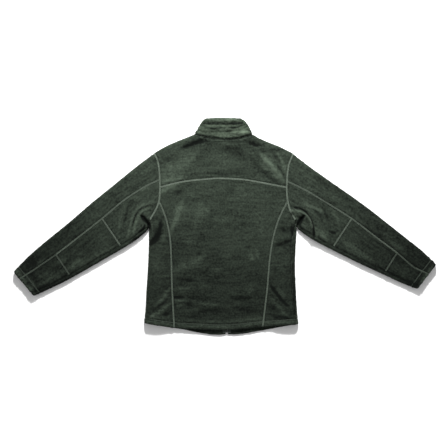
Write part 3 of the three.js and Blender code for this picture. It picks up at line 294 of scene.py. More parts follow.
# Where the pile lies flat or brushed up, with painted shade in creases, armpit gaps and along lower edges and painted
# highlights on lit ridges: path, half width in millimetres, and how much lighter or darker.
napAndLightStrokes = [
    # Yoke
    {"path": [(-216, 506), (-196, 556), (-152, 596), (-104, 616)], "width": 24, "shade": 0.5},
    {"path": [(-184, 536), (-130, 580), (-104, 606)], "width": 16, "shade": 0.4},
    {"path": [(-228, 478), (-200, 497), (-160, 512)], "width": 9, "shade": 0.8},
    {"path": [(-180, 480), (-134, 491)], "width": 10, "shade": -0.5},
    {"path": [(146, 622), (166, 602), (190, 574), (212, 548), (232, 522)], "width": 11, "shade": 1.25},
    {"path": [(146, 610), (164, 590), (192, 558)], "width": 17, "shade": 0.5},
    {"path": [(108, 612), (146, 570), (186, 534), (224, 508)], "width": 8, "shade": -0.3},
    {"path": [(206, 586), (226, 552), (238, 528)], "width": 5, "shade": -0.5},
    {"path": [(204, 630), (226, 600), (240, 550)], "width": 6, "shade": 0.5},
    {"path": [(196, 622), (222, 588)], "width": 7, "shade": -0.3},
    {"path": [(-56, 676), (-100, 664), (-146, 647)], "width": 9, "shade": -0.95},
    {"path": [(-146, 620), (-186, 604), (-220, 588)], "width": 8, "shade": -0.5},
    {"path": [(-250, 608), (-236, 596)], "width": 10, "shade": -0.3},
    {"path": [(-214, 522), (-172, 532), (-128, 540)], "width": 9, "shade": 0.55},
    {"path": [(-120, 618), (-96, 604)], "width": 13, "shade": 0.35},
    {"path": [(-233, 640), (-170, 664), (-115, 686)], "width": 4.5, "shade": 0.2},
    {"path": [(88, 674), (118, 662), (152, 654)], "width": 8, "shade": -0.8},
    {"path": [(120, 640), (160, 638), (220, 634)], "width": 12, "shade": -0.3},
    {"path": [(132, 690), (180, 670), (226, 648)], "width": 5, "shade": 0.35},
    {"path": [(-8, 632), (50, 640), (92, 604)], "width": 20, "shade": -0.38},
    {"path": [(-50, 560), (20, 556), (94, 556)], "width": 13, "shade": -0.26},
    {"path": [(20, 496), (60, 488)], "width": 16, "shade": -0.2},
    # Back
    {"path": [(-138, 456), (-156, 414), (-176, 360), (-186, 336)], "width": 12, "shade": 0.85},
    {"path": [(-70, 444), (-84, 392), (-100, 350)], "width": 18, "shade": 0.4},
    {"path": [(-18, 440), (10, 330)], "width": 24, "shade": 0.12},
    {"path": [(-40, 350), (-38, 426)], "width": 9, "shade": -0.2},
    {"path": [(122, 420), (150, 370), (150, 320)], "width": 22, "shade": 0.22},
    {"path": [(104, 262), (126, 226)], "width": 14, "shade": 0.45},
    {"path": [(-182, 188), (-138, 206), (-96, 222), (-60, 250)], "width": 12, "shade": 0.55},
    {"path": [(-50, 178), (4, 202)], "width": 13, "shade": 0.4},
    {"path": [(-162, 166), (-128, 160), (-92, 160)], "width": 8, "shade": -0.4},
    {"path": [(-184, 124), (-96, 122)], "width": 9, "shade": 0.35},
    {"path": [(-80, 132), (-40, 130)], "width": 8, "shade": 0.35},
    {"path": [(96, 122), (124, 118)], "width": 10, "shade": 0.45},
    {"path": [(-182, 95), (-160, 94), (-134, 93)], "width": 3.6, "shade": -0.9},
    {"path": [(-172, 80), (-150, 84), (-132, 86)], "width": 4, "shade": 0.5},
    {"path": [(-172, 60), (-150, 66), (-132, 68)], "width": 4, "shade": 0.3},
    {"path": [(-70, 68), (-10, 66)], "width": 10, "shade": 0.35},
    {"path": [(-130, 70), (-106, 66)], "width": 8, "shade": -0.3},
    {"path": [(-80, 48), (0, 46)], "width": 9, "shade": -0.25},
    {"path": [(-58, 424), (-42, 402)], "width": 10, "shade": 0.5},
    {"path": [(-136, 322), (-96, 290)], "width": 15, "shade": 0.25},
    {"path": [(126, 280), (138, 238)], "width": 8, "shade": 0.4},
    {"path": [(-100, 82), (-56, 70)], "width": 7, "shade": 0.35},
    {"path": [(-92, 262), (-66, 250)], "width": 9, "shade": -0.35},
    {"path": [(90, 276), (108, 284)], "width": 9, "shade": -0.3},
    {"path": [(50, 52), (100, 46), (150, 44)], "width": 16, "shade": -0.2},
    {"path": [(30, 96), (80, 90), (120, 96)], "width": 8, "shade": -0.2},
    # Sides
    {"path": [(-222, 378), (-228, 346), (-240, 312), (-262, 288)], "width": 11, "shade": -0.75},
    {"path": [(-238, 322), (-250, 304), (-270, 292)], "width": 8, "shade": -0.75},
    {"path": [(-260, 384), (-254, 346)], "width": 6, "shade": 0.4},
    {"path": [(-220, 330), (-210, 296)], "width": 8, "shade": 0.3},
    {"path": [(-272, 330), (-276, 200), (-283, 56)], "width": 5, "shade": 0.35},
    {"path": [(-240, 68), (-212, 94), (-190, 128)], "width": 8, "shade": 0.6},
    {"path": [(-264, 22), (-226, 42), (-202, 62), (-184, 74)], "width": 8, "shade": 0.75},
    {"path": [(-240, 56), (-198, 88)], "width": 5, "shade": -0.35},
    {"path": [(-216, 32), (-192, 34)], "width": 7, "shade": -0.35},
    {"path": [(208, 352), (238, 346), (262, 338)], "width": 16, "shade": -0.5},
    {"path": [(196, 281), (232, 296), (263, 305)], "width": 7, "shade": -0.6},
    {"path": [(200, 206), (200, 184)], "width": 8, "shade": -0.3},
    {"path": [(206, 128), (240, 84)], "width": 7, "shade": 0.35},
    {"path": [(180, 144), (210, 104), (250, 58)], "width": 6, "shade": -0.5},
    {"path": [(180, 96), (214, 60), (244, 28)], "width": 7, "shade": 0.3},
    {"path": [(172, 60), (226, 46)], "width": 12, "shade": -0.25},
    {"path": [(262, 368), (262, 326)], "width": 6, "shade": -0.6},
    {"path": [(276, 300), (273, 240), (274, 150), (280, 50)], "width": 5, "shade": -0.4},
    {"path": [(180, 30), (224, 22), (264, 18)], "width": 8, "shade": -0.3},
    {"path": [(-222, 280), (-232, 200), (-228, 130)], "width": 26, "shade": 0.16},
    # Hem
    {"path": [(-290, 8), (-173, -6), (-78, -12), (21, -14), (154, 0), (290, 4)], "width": 8, "shade": 0.45},
    {"path": [(-188, 2), (-160, -8)], "width": 6, "shade": -0.6},
    {"path": [(-270, 22), (-173, 16), (-78, 6), (21, 4), (154, 18)], "width": 7, "shade": 0.2},
    # Left armpit and sleeve
    {"path": [(-250, 446), (-290, 436), (-316, 414), (-330, 384), (-338, 346), (-346, 312)], "width": 5, "shade": 0.5},
    {"path": [(-256, 438), (-294, 424), (-316, 396), (-327, 356)], "width": 3, "shade": -0.55},
    {"path": [(-260, 428), (-290, 414), (-309, 386), (-320, 350), (-324, 330)], "width": 4.5, "shade": 0.75},
    {"path": [(-256, 416), (-280, 412), (-298, 398)], "width": 3, "shade": -0.5},
    {"path": [(-256, 411), (-274, 410), (-290, 402)], "width": 5, "shade": 0.8},
    {"path": [(-296, 397), (-282, 384), (-269, 370), (-265, 356), (-274, 342)], "width": 5, "shade": -3.0},
    {"path": [(-280, 366), (-287, 350), (-306, 334)], "width": 3.2, "shade": -1.3},
    {"path": [(-276, 344), (-300, 322), (-332, 304)], "width": 4.5, "shade": -0.6},
    {"path": [(-346, 492), (-356, 452), (-368, 400), (-382, 340)], "width": 8, "shade": 0.2},
    {"path": [(-340, 446), (-350, 404), (-360, 366)], "width": 4.5, "shade": -0.35},
    {"path": [(-322, 462), (-336, 428)], "width": 4.5, "shade": -0.35},
    {"path": [(-310, 488), (-278, 500), (-262, 496)], "width": 9, "shade": 0.7},
    {"path": [(-330, 470), (-306, 456)], "width": 7, "shade": 0.4},
    {"path": [(-345, 352), (-330, 334)], "width": 8, "shade": 0.35},
    {"path": [(-400, 444), (-372, 452)], "width": 9, "shade": -0.3},
    {"path": [(-372, 300), (-430, 280)], "width": 9, "shade": -0.2},
    {"path": [(-384, 290), (-480, 240), (-600, 180), (-672, 140)], "width": 8, "shade": 0.25},
    {"path": [(-500, 240), (-570, 206)], "width": 12, "shade": 0.35},
    {"path": [(-610, 226), (-570, 236)], "width": 10, "shade": 0.3},
    {"path": [(-690, 196), (-640, 170), (-596, 160)], "width": 24, "shade": 0.2},
    {"path": [(-726, 186), (-704, 158), (-682, 134)], "width": 6, "shade": 0.5},
    {"path": [(-762, 204), (-724, 152), (-686, 104)], "width": 9, "shade": 0.55},
    {"path": [(-650, 240), (-680, 214)], "width": 12, "shade": 0.25},
    # Right armpit and sleeve
    {"path": [(260, 416), (280, 390)], "width": 6, "shade": 1.6},
    {"path": [(268, 427), (290, 423), (308, 414), (324, 398)], "width": 2.8, "shade": -1.1},
    {"path": [(320, 402), (332, 386), (340, 362), (343, 344)], "width": 2.6, "shade": -0.8},
    {"path": [(340, 350), (343, 336), (341, 320)], "width": 4, "shade": -1.7},
    {"path": [(276, 414), (300, 410), (322, 394), (332, 370), (336, 350)], "width": 3.4, "shade": 0.65},
    {"path": [(270, 422), (284, 410), (292, 400)], "width": 5, "shade": 0.5},
    {"path": [(308, 397), (300, 388), (290, 376), (282, 362)], "width": 6, "shade": -3.0},
    {"path": [(304, 388), (312, 380)], "width": 4, "shade": 0.4},
    {"path": [(300, 376), (292, 356), (312, 334)], "width": 6, "shade": -0.35},
    {"path": [(303, 444), (332, 430), (362, 418), (386, 408)], "width": 6, "shade": 0.6},
    {"path": [(404, 424), (420, 402), (434, 374)], "width": 8, "shade": 0.5},
    {"path": [(372, 430), (386, 404), (398, 378)], "width": 5, "shade": -0.45},
    {"path": [(340, 420), (366, 396), (376, 370)], "width": 5, "shade": -0.35},
    {"path": [(396, 340), (416, 334), (432, 342)], "width": 6, "shade": -0.5},
    {"path": [(330, 548), (420, 496), (500, 444)], "width": 15, "shade": -0.2},
    {"path": [(352, 292), (450, 240), (560, 190), (690, 142)], "width": 8, "shade": 0.25},
    {"path": [(782, 214), (755, 172), (728, 136)], "width": 7, "shade": 0.5},
    {"path": [(350, 350), (374, 326), (392, 308)], "width": 11, "shade": 0.8},
    {"path": [(346, 352), (352, 330), (350, 312)], "width": 6, "shade": 0.5},
    {"path": [(430, 390), (440, 356)], "width": 9, "shade": 0.2},
    {"path": [(330, 470), (380, 452), (424, 420)], "width": 10, "shade": -0.25},
    {"path": [(452, 306), (480, 280), (520, 252), (560, 232)], "width": 14, "shade": 0.45},
    {"path": [(306, 572), (332, 558)], "width": 13, "shade": -0.2},
    {"path": [(510, 366), (560, 336), (600, 306)], "width": 10, "shade": -0.25},
    {"path": [(600, 330), (640, 300), (684, 250)], "width": 16, "shade": 0.35},
    {"path": [(640, 210), (680, 186), (716, 156)], "width": 22, "shade": 0.15},
    {"path": [(300, 500), (350, 476)], "width": 12, "shade": 0.25},
    # Collar
    {"path": [(-70, 737), (-30, 735), (40, 735), (84, 737)], "width": 3.4, "shade": -0.5},
    {"path": [(-78, 731), (-52, 724), (-30, 718), (4, 722)], "width": 4, "shade": -0.55},
    {"path": [(-110, 697), (-92, 704)], "width": 5, "shade": 0.9},
    {"path": [(-24, 692), (14, 688), (54, 692)], "width": 6, "shade": 0.3},
    {"path": [(-88, 702), (-70, 714), (-48, 712), (-36, 704)], "width": 6, "shade": 0.8},
    {"path": [(-70, 727), (-20, 729), (20, 726)], "width": 4, "shade": 0.3},
    {"path": [(30, 722), (60, 722), (84, 732)], "width": 3.6, "shade": -0.7},
    {"path": [(34, 704), (62, 716), (92, 728)], "width": 5.5, "shade": 0.9},
    {"path": [(76, 708), (100, 712), (112, 704)], "width": 3, "shade": -0.6},
    {"path": [(66, 700), (88, 707), (110, 702)], "width": 5.5, "shade": 1.5},
    {"path": [(-20, 706), (20, 702)], "width": 8, "shade": 0.25},
    {"path": [(-48, 757), (60, 757)], "width": 6, "shade": 0.3},
    {"path": [(14, 752), (50, 752), (76, 744)], "width": 6, "shade": 0.5},
]
# Painted shade: the cloth is darker towards the hem and the cuffs, as the light falls off there.
paintedFalloff = {"top": 560, "bottom": 40, "hemShade": -0.38, "armStart": 300, "armEnd": 740, "cuffShade": -0.28}


unevenness = 0.2


def strokeSum(strokes, x, y, amount):
    total = np.zeros(len(x))
    for stroke in strokes:
        path = smoothLine(stroke["path"], 4)
        reach = 3 * stroke["width"]
        near = ((x > path[:, 0].min() - reach) & (x < path[:, 0].max() + reach)
                & (y > path[:, 1].min() - reach) & (y < path[:, 1].max() + reach))
        if not near.any():
            continue
        px, py = x[near], y[near]
        best = np.full(len(px), 1e9)
        run = np.zeros(len(px))
        passed = 0.0
        for (ax, ay), (bx, by) in zip(path[:-1], path[1:]):
            dx, dy = bx - ax, by - ay
            length = math.hypot(dx, dy)
            share = np.clip(((px - ax) * dx + (py - ay) * dy) / length ** 2, 0, 1)
            gap = np.hypot(px - ax - dx * share, py - ay - dy * share)
            run = np.where(gap < best, passed + share * length, run)
            best = np.minimum(best, gap)
            passed += length
        # A stroke thins and fades towards both ends, and is a little uneven.
        fade = min(0.4 * passed, 2.5 * stroke["width"])
        full = 0.45 + 0.55 * np.clip(np.minimum(run, passed - run) / fade, 0, 1)
        uneven = 1 + unevenness * lumps(px, py, 31, 22)
        total[near] += stroke[amount] * full * uneven * np.exp(-(best / (stroke["width"] * full)) ** 2)
    return total


def smoothStep(value, low, high):
    share = np.clip((value - low) / (high - low), 0, 1)
    return share * share * (3 - 2 * share)


def creaseLift(x, y):
    # Height that the creases add at plan points, in millimetres.
    lift = np.zeros(len(x))
    for crease in creaseSettings:
        path = smoothLine(crease["path"], 4)
        reach = 3 * max(crease["left"], crease["right"])
        near = ((x > path[:, 0].min() - reach) & (x < path[:, 0].max() + reach)
                & (y > path[:, 1].min() - reach) & (y < path[:, 1].max() + reach))
        if not near.any():
            continue
        px, py = x[near], y[near]
        best = np.full(len(px), 1e9)
        side = np.zeros(len(px))
        for (ax, ay), (bx, by) in zip(path[:-1], path[1:]):
            dx, dy = bx - ax, by - ay
            share = np.clip(((px - ax) * dx + (py - ay) * dy) / (dx * dx + dy * dy), 0, 1)
            gap = np.hypot(px - ax - dx * share, py - ay - dy * share)
            closer = gap < best
            best = np.where(closer, gap, best)
            side = np.where(closer, dx * (py - ay) - dy * (px - ax), side)
        width = np.where(side > 0, crease["left"], crease["right"])
        lift[near] += crease["rise"] * np.exp(-(best / width) ** 2)
    return lift


def readPoints(mesh):
    co = np.empty(len(mesh.vertices) * 3)
    mesh.vertices.foreach_get("co", co)
    return co.reshape(-1, 3)


def readNormals(mesh):
    no = np.empty(len(mesh.vertices) * 3)
    mesh.vertices.foreach_get("normal", no)
    return no.reshape(-1, 3)


def writePoints(mesh, co):
    mesh.vertices.foreach_set("co", co.reshape(-1))
    mesh.update()


def lumps(x, y, seed, size):
    # Soft uneven swell from a few crossed waves, about -1 to 1.
    draw = np.random.default_rng(seed)
    total = np.zeros(len(x))
    waves = 7
    for _ in range(waves):
        angle, phase = draw.uniform(0, 2 * math.pi, 2)
        length = size * draw.uniform(0.7, 1.5)
        total += np.sin((x * math.cos(angle) + y * math.sin(angle)) * 2 * math.pi / length + phase)
    return total / math.sqrt(waves)


topLow, topHigh = 7.0, 12.0
reliefGain = 1.25
for node, piece in panels.items():
    co = readPoints(piece.data)
    x, y = co[:, 0] / mm - planShift[0], co[:, 1] / mm - planShift[1]
    onTop = smoothStep(co[:, 2] / mm, topLow, topHigh)
    lift = creaseLift(x, y) * reliefGain + 0.5 * lumps(x, y, 4, 74) + 0.4 * lumps(x, y, 9, 31)
    co[:, 2] += lift * onTop * mm
    writePoints(piece.data, co)
print("creases laid")

# Tufts of the pile, as soft noise pushed out of the sheets.
tuftSettings = [{"size": 0.0085, "height": 0.0017}, {"size": 0.0038, "height": 0.0011}]


def raiseTufts(piece, settings, seamGaps):
    # The pile is pressed flat along the seams.
    pile = piece.vertex_groups.new(name="pile")
    weights = np.round(1 - np.exp(-(seamGaps / 4.5) ** 2), 1)
    for weight in np.unique(weights):
        pile.add(np.flatnonzero(weights == weight).tolist(), float(weight), "REPLACE")
    for step, tuft in enumerate(settings):
        clouds = bpy.data.textures.new(f"tuft{step}", "CLOUDS")
        clouds.noise_scale = tuft["size"]
        clouds.noise_depth = 1
        raised = piece.modifiers.new("tufts", "DISPLACE")
        raised.texture = clouds
        raised.texture_coords = "LOCAL"
        raised.strength = tuft["height"]
        raised.mid_level = 0.5
        raised.vertex_group = "pile"
        makeActive(piece)
        bpy.ops.object.modifier_apply(modifier="tufts")
        bpy.data.textures.remove(clouds)


# Seam lines on the flat cloth: layer, points, and how much of the thread the pile leaves to be seen.
hemDepths = {"side": 20, "middle": 19}
cuffDepth, collarDepth = 27, 20
threadEnd = 385
zipClear = 13
seamLines = []


def addSeam(layer, line, shown=1.0, width=4.4, groove=1.0):
    seamLines.append({"layer": layer, "line": np.asarray(line, float), "shown": shown, "width": width,
                      "groove": groove})


for sideName in sideNames:
    rows = plan[sideName]
    armhole = smoothLine(rows["armhole"])
    addSeam("top", armhole[armhole[:, 1] > threadEnd], shown=0.92)
    addSeam("top", armhole[armhole[:, 1] < threadEnd + 4], shown=0.0)
    addSeam("under", smoothLine(rows["frontArmhole"]))
    addSeam("top", smoothLine(rows["princess"]), shown=0.66)
    seam = smoothLine(rows["sleeveSeam"])
    addSeam("top", seam[:61], shown=0.6)
    addSeam("top", seam[60:], shown=0.36)
    lower = smoothLine(rows["sleeveLower"])
    for station in (3, 5):
        start, end = seam[station * 12], lower[station * 12]
        back = (end - start) / np.linalg.norm(end - start)
        addSeam("top", [start, end - back * 20], shown=0.64 if station == 3 else 0.36)
    underarm = []
    for a, b in zip(lower, seam):
        underarm.append(a + (b - a) / np.linalg.norm(b - a) * 20)
    addSeam("top", underarm, shown=0.0, groove=0.5)
    neck = smoothLine(rows["frontNeck"])
    addSeam("under", neck[np.abs(neck[:, 0] - plan["zip"][-1][0]) > zipClear])
    upper = smoothLine(rows["sleeveUpper"])
    alongUpper = (upper[-2] - upper[-1]) / np.linalg.norm(upper[-2] - upper[-1])
    alongLower = (lower[-2] - lower[-1]) / np.linalg.norm(lower[-2] - lower[-1])
    cuff = [upper[-1] + alongUpper * cuffDepth, lower[-1] + alongLower * cuffDepth]
    for layer in ("top", "under"):
        addSeam(layer, cuff, shown=0.15, width=3.0, groove=0.7)
rows = plan["right"]
sideSeam = smoothLine([rows["sideSeamTop"]] + [tuple(toCloth(x, y)) for x, y in rows["sideSeamSeen"]])
addSeam("top", sideSeam, shown=0.0, groove=1.2)
addSeam("top", smoothLine(plan["yoke"]), shown=1.0)
addSeam("top", smoothLine(plan["backNeck"]), shown=0.0, groove=1.6)
for layer, hem in (("top", smoothLine(plan["backHem"])), ("under", smoothLine(plan["frontHem"]))):
    share = np.linspace(-1, 1, len(hem)) ** 4
    depth = hemDepths["middle"] + (hemDepths["side"] - hemDepths["middle"]) * share
    addSeam(layer, hem + np.column_stack([np.zeros(len(hem)), depth]), shown=0.2, width=3.0, groove=0.8)
addSeam("top", smoothLine(plan["collarTop"]) - np.array([0, collarDepth]), shown=0.0, groove=1.4)
addSeam("under", smoothLine(plan["left"]["side"]) + np.array([20, 0]), shown=0.6)
for across in (-9, 9):
    addSeam("under", smoothLine(plan["zip"]) + np.array([across, 0]), width=1.6, groove=0.6)


def clothTrees():
    trees = []
    for piece in panels.values():
        co = readPoints(piece.data)
        tree = BVHTree.FromObject(piece, bpy.context.evaluated_depsgraph_get())
        trees.append((tree, co.min(0), co.max(0)))
    return trees


def treesNear(trees, point, reach):
    spot = np.array(point)
    return [tree for tree, low, high in trees if (spot > low - reach).all() and (spot < high + reach).all()]


def nearestOnCloth(trees, point, reach):
    best = None
    for tree in treesNear(trees, point, reach):
        found = tree.find_nearest(point, reach)
        if found[0] is not None and (best is None or found[3] < best[2]):
            best = (found[0], found[1], found[3])
    return best


def outerFace(trees, x, y, layer):
    # The outer face of the cloth at a point of the flat plan, and its normal there.
    if nearestFold(x, y)[0] < flatFrom:
        return nearestOnCloth(trees, layPoint(x, y, layer, outsideReach), 0.03)
    place = layPoint(x, y, layer)
    way = Vector((0, 0, -1 if layer == "top" else 1))
    start = place - way * 0.06
    best = None
    for tree, low, high in trees:
        if low[0] < start.x < high[0] and low[1] < start.y < high[1]:
            hit = tree.ray_cast(start, way)
            if hit[0] is not None and (best is None or hit[3] < best[2]):
                best = (hit[0], hit[1], hit[3])
    return best


def softened(values, times):
    for _ in range(times):
        inner = (values[:-2] + values[1:-1] * 2 + values[2:]) / 4
        values = np.vstack([values[:1], inner, values[-1:]])
    return values


flatFrom = 16.0
outsideReach = 7.0
probeReach = 5.0


def settleSeam(trees, seam, smoothing):
    # Spots and normals along a seam, from the cloth on either side of it.
    line = evenLine(seam["line"], 3.0)
    along = np.gradient(line, axis=0)
    across = np.column_stack([-along[:, 1], along[:, 0]])
    across *= probeReach / np.linalg.norm(across, axis=1)[:, None]
    spots, normals = [], []
    for (x, y), (dx, dy) in zip(line, across):
        probes = []
        for px, py in ((x + dx, y + dy), (x - dx, y - dy)):
            found = outerFace(trees, px, py, seam["layer"])
            if found is not None:
                probes.append(found)
        if len(probes) < 2:
            continue
        middle = (probes[0][0] + probes[1][0]) / 2
        if nearestFold(x, y)[0] > flatFrom:
            place = layPoint(x, y, seam["layer"])
            middle = Vector((place.x, place.y, middle.z))
        spots.append(middle)
        normals.append((probes[0][1] + probes[1][1]).normalized())
    spots = softened(np.array(spots), smoothing)
    normals = softened(np.array(normals), smoothing + 4)
    # Squared up to the seam's own run.
    run = np.gradient(spots, axis=0)
    run /= np.linalg.norm(run, axis=1)[:, None] + 1e-9
    normals -= run * (normals * run).sum(1)[:, None]
    seam["spots"] = spots
    seam["normals"] = normals / np.linalg.norm(normals, axis=1)[:, None]


smoothSheets = clothTrees()
for seam in seamLines:
    settleSeam(smoothSheets, seam, 2)
print("seams settled", sum(len(s["spots"]) for s in seamLines))

seamSpots = np.vstack([seam["spots"] for seam in seamLines])
seamDepths = np.concatenate([np.full(len(seam["spots"]), seam["groove"]) for seam in seamLines])
seamTree = KDTree(len(seamSpots))
for index, spot in enumerate(seamSpots):
    seamTree.insert(Vector(spot), index)
seamTree.balance()


def seamGaps(mesh):
    found = [seamTree.find(Vector(point)) for point in readPoints(mesh)]
    return np.array([hit[2] for hit in found]) / mm, seamDepths[[hit[1] for hit in found]]


for piece in panels.values():
    raiseTufts(piece, tuftSettings, seamGaps(piece.data)[0])
print("tufts raised")

groove = {"depth": 1.3, "width": 3.6, "puff": 1.0, "puffAt": 9.0, "puffWidth": 4.5, "pucker": 0.6}
innerLow, innerHigh = 3.0, 9.0
shadeLow, shadeHigh = 3.0, 9.0
for node, piece in panels.items():
    mesh = piece.data
    co = readPoints(mesh)
    normals = readNormals(mesh)
    gaps, strength = seamGaps(mesh)
    x, y = co[:, 0] / mm - planShift[0], co[:, 1] / mm - planShift[1]
    pucker = lumps(x, y, 21, 13) * np.exp(-((gaps - 6) / 7) ** 2) * groove["pucker"]
    move = (-groove["depth"] * np.exp(-(gaps / groove["width"]) ** 2)
            + groove["puff"] * np.exp(-((gaps - groove["puffAt"]) / groove["puffWidth"]) ** 2) + pucker)
    z = co[:, 2] / mm
    isInside = (z > innerLow) & (z < innerHigh) & (np.abs(normals[:, 2]) > 0.5)
    move = np.where(isInside, 0, move * strength)
    co += normals * (move * mm)[:, None]
    co[:, 2] = np.maximum(co[:, 2], 0)
    writePoints(mesh, co)
    near = mesh.attributes.new("seamNear", "FLOAT", "POINT")
    near.data.foreach_set("value", (strength * np.exp(-(gaps / 4.0) ** 2)).astype(np.float32))
    onTop = smoothStep(z, shadeLow, shadeHigh)
    reached = smoothStep(paintedFalloff["top"] - y, 0, paintedFalloff["top"] - paintedFalloff["bottom"])
    outer = smoothStep(np.abs(x), paintedFalloff["armStart"], paintedFalloff["armEnd"])
    # Nap tone, painted shade and painted highlights, stored on the cloth for its colour.
    shade = (strokeSum(napAndLightStrokes, x, y, "shade") * onTop
             + paintedFalloff["hemShade"] * reached + paintedFalloff["cuffShade"] * outer)
    napAndLight = mesh.attributes.new("napAndPaintedLight", "FLOAT", "POINT")
    napAndLight.data.foreach_set("value", shade.astype(np.float32))
print("seams sunk")

# One stitch is a grain of thread, modelled once and repeated along every seam.
threadSettings = {"pitch": 3.7, "thick": 0.52, "lift": 0.4, "sunk": 0.4, "sheen": 0.2,
                  "lowest": -0.3}


def makeGrain():
    bpy.ops.object.select_all(action="DESELECT")
    bpy.ops.mesh.primitive_cylinder_add(vertices=4, radius=1, depth=1, end_fill_type="TRIFAN",
                                        location=(0, 0, 0), rotation=(0, math.pi / 2, 0))
    grain = bpy.context.active_object
    bpy.ops.object.transform_apply(location=False, rotation=True, scale=True)
    for vertex in grain.data.vertices:
        isTip = math.hypot(vertex.co.y, vertex.co.z) < 0.01
        vertex.co.x *= 1.25 if isTip else 0.66
    grain.data.update()
    co = readPoints(grain.data)
    faces = [tuple(face.vertices) for face in grain.data.polygons]
    bpy.data.objects.remove(grain)
    return co, faces


grainPoints, grainFaces = makeGrain()


def alongSeam(seam, pitch):
    # Half-stitch steps along a settled seam, with the cloth's normal at each.
    spots, normals = seam["spots"], seam["normals"]
    run = np.concatenate([[0], np.cumsum(np.linalg.norm(np.diff(spots, axis=0), axis=1))])
    count = max(int(run[-1] / pitch), 1)
    wanted = np.linspace(0, run[-1], count * 2 + 1)
    newSpots = np.column_stack([np.interp(wanted, run, spots[:, k]) for k in range(3)])
    newNormals = np.column_stack([np.interp(wanted, run, normals[:, k]) for k in range(3)])
    return newSpots, newNormals / np.linalg.norm(newNormals, axis=1)[:, None]


finishedSheets = clothTrees()
searchReach = 5 * mm


def restOnCloth(spots, normals, lift):
    # The same points at one height over the finished cloth.
    heights = np.zeros(len(spots))
    for k, (spot, normal) in enumerate(zip(spots, normals)):
        way = Vector(normal)
        start = Vector(spot) + way * searchReach
        hits = [tree.ray_cast(start, -way, 2 * searchReach)
                for tree in treesNear(finishedSheets, spot, searchReach)]
        runs = [hit[3] for hit in hits if hit[0] is not None]
        heights[k] = searchReach - min(runs) if runs else heights[max(k - 1, 0)]
    for width, pick in ((5, np.median), (3, np.max), (3, np.mean)):
        padded = np.pad(heights, width // 2, mode="edge")
        heights = pick(np.lib.stride_tricks.sliding_window_view(padded, width), axis=1)
    return spots + normals * (heights + lift)[:, None]


def sewSeam(seam, vertices, faces, tones):
    # Two rows of straight stitches, and the zigzag of the looper thread between them.
    if len(seam["spots"]) < 4:
        return
    spots, normals = alongSeam(seam, threadSettings["pitch"] * mm)
    along = np.gradient(spots, axis=0)
    along /= np.linalg.norm(along, axis=1)[:, None] + 1e-9
    across = np.cross(normals, along)
    half = seam["width"] / 2 * mm
    lift = (threadSettings["lift"] - threadSettings["sunk"] * (1 - min(seam["shown"], 1))) * mm
    left = restOnCloth(spots + across * half, normals, lift)
    right = restOnCloth(spots - across * half, normals, lift)
    lines = []
    for k in range(0, len(spots) - 2, 2):
        lines.append((left[k], left[k + 2], normals[k]))
        lines.append((right[k], right[k + 2], normals[k]))
        if seam["width"] > 2.5:
            lines.append((left[k], right[k + 1], normals[k]))
            lines.append((right[k + 1], left[k + 2], normals[k]))
    thick = threadSettings["thick"] * mm
    for start, end, normal in lines:
        way = end - start
        length = np.linalg.norm(way)
        if length < 1e-5:
            continue
        way = way / length
        side = np.cross(normal, way)
        side /= np.linalg.norm(side) + 1e-9
        up = np.cross(way, side)
        base = len(vertices)
        placed = ((start + end) / 2 + np.outer(grainPoints[:, 0] * length, way)
                  + np.outer(grainPoints[:, 1] * thick, side) + np.outer(grainPoints[:, 2] * thick, up))
        placed[:, 2] = np.maximum(placed[:, 2], threadSettings["lowest"] * mm)
        vertices.extend(placed.tolist())
        faces.extend(tuple(base + v for v in face) for face in grainFaces)
        tones.extend([seam["shown"]] * len(grainPoints))


def makeStitches(name, seams):
    vertices, faces, tones = [], [], []
    for seam in seams:
        sewSeam(seam, vertices, faces, tones)
    mesh = bpy.data.meshes.new(name)
    mesh.from_pydata(vertices, [], faces)
    mesh.update()
    tone = mesh.attributes.new("threadTone", "FLOAT", "POINT")
    tone.data.foreach_set("value", np.array(tones, dtype=np.float32))
    piece = newObject(name, mesh)
    makeActive(piece)
    bpy.ops.object.shade_smooth()
    return piece


shownSeams = [seam for seam in seamLines if seam["shown"] > 0]
stitches = {
    "stitches_upper": makeStitches("stitches_upper", [s for s in shownSeams if s["layer"] == "top"]),
    "stitches_under": makeStitches("stitches_under", [s for s in shownSeams if s["layer"] == "under"]),
}
for name, piece in stitches.items():
    print(name, sum(len(face.vertices) - 2 for face in piece.data.polygons), "triangles")


# Materials. Shared effects are node groups: the pile of the fleece and the streaks of its nap.
def newGroup(name, inputs, outputs):
    group = bpy.data.node_groups.new(name, "ShaderNodeTree")
    for label, kind, value in inputs:
        socket = group.interface.new_socket(label, in_out="INPUT", socket_type=kind)
        if value is not None:
            socket.default_value = value
    for label, kind in outputs:
        group.interface.new_socket(label, in_out="OUTPUT", socket_type=kind)
    enter = group.nodes.new("NodeGroupInput")
    leave = group.nodes.new("NodeGroupOutput")
    return group, enter, leave


def addNode(tree, kind, **values):
    node = tree.nodes.new(kind)
    for key, value in values.items():
        setattr(node, key, value)
    return node


def setInputs(node, **values):
    for key, value in values.items():
        node.inputs[key.replace("_", " ")].default_value = value
    return node


def mathNode(tree, operation, first, second=None, third=None):
    node = addNode(tree, "ShaderNodeMath", operation=operation)
    for slot, value in enumerate((first, second, third)):
        if value is None:
            continue
        if isinstance(value, (int, float)):
            node.inputs[slot].default_value = value
        else:
            tree.links.new(value, node.inputs[slot])
    return node.outputs[0]


def noiseNode(tree, vector, scale, detail=2.0, roughness=0.5):
    node = addNode(tree, "ShaderNodeTexNoise")
    setInputs(node, Scale=scale, Detail=detail, Roughness=roughness)
    tree.links.new(vector, node.inputs["Vector"])
    return node.outputs["Fac"]


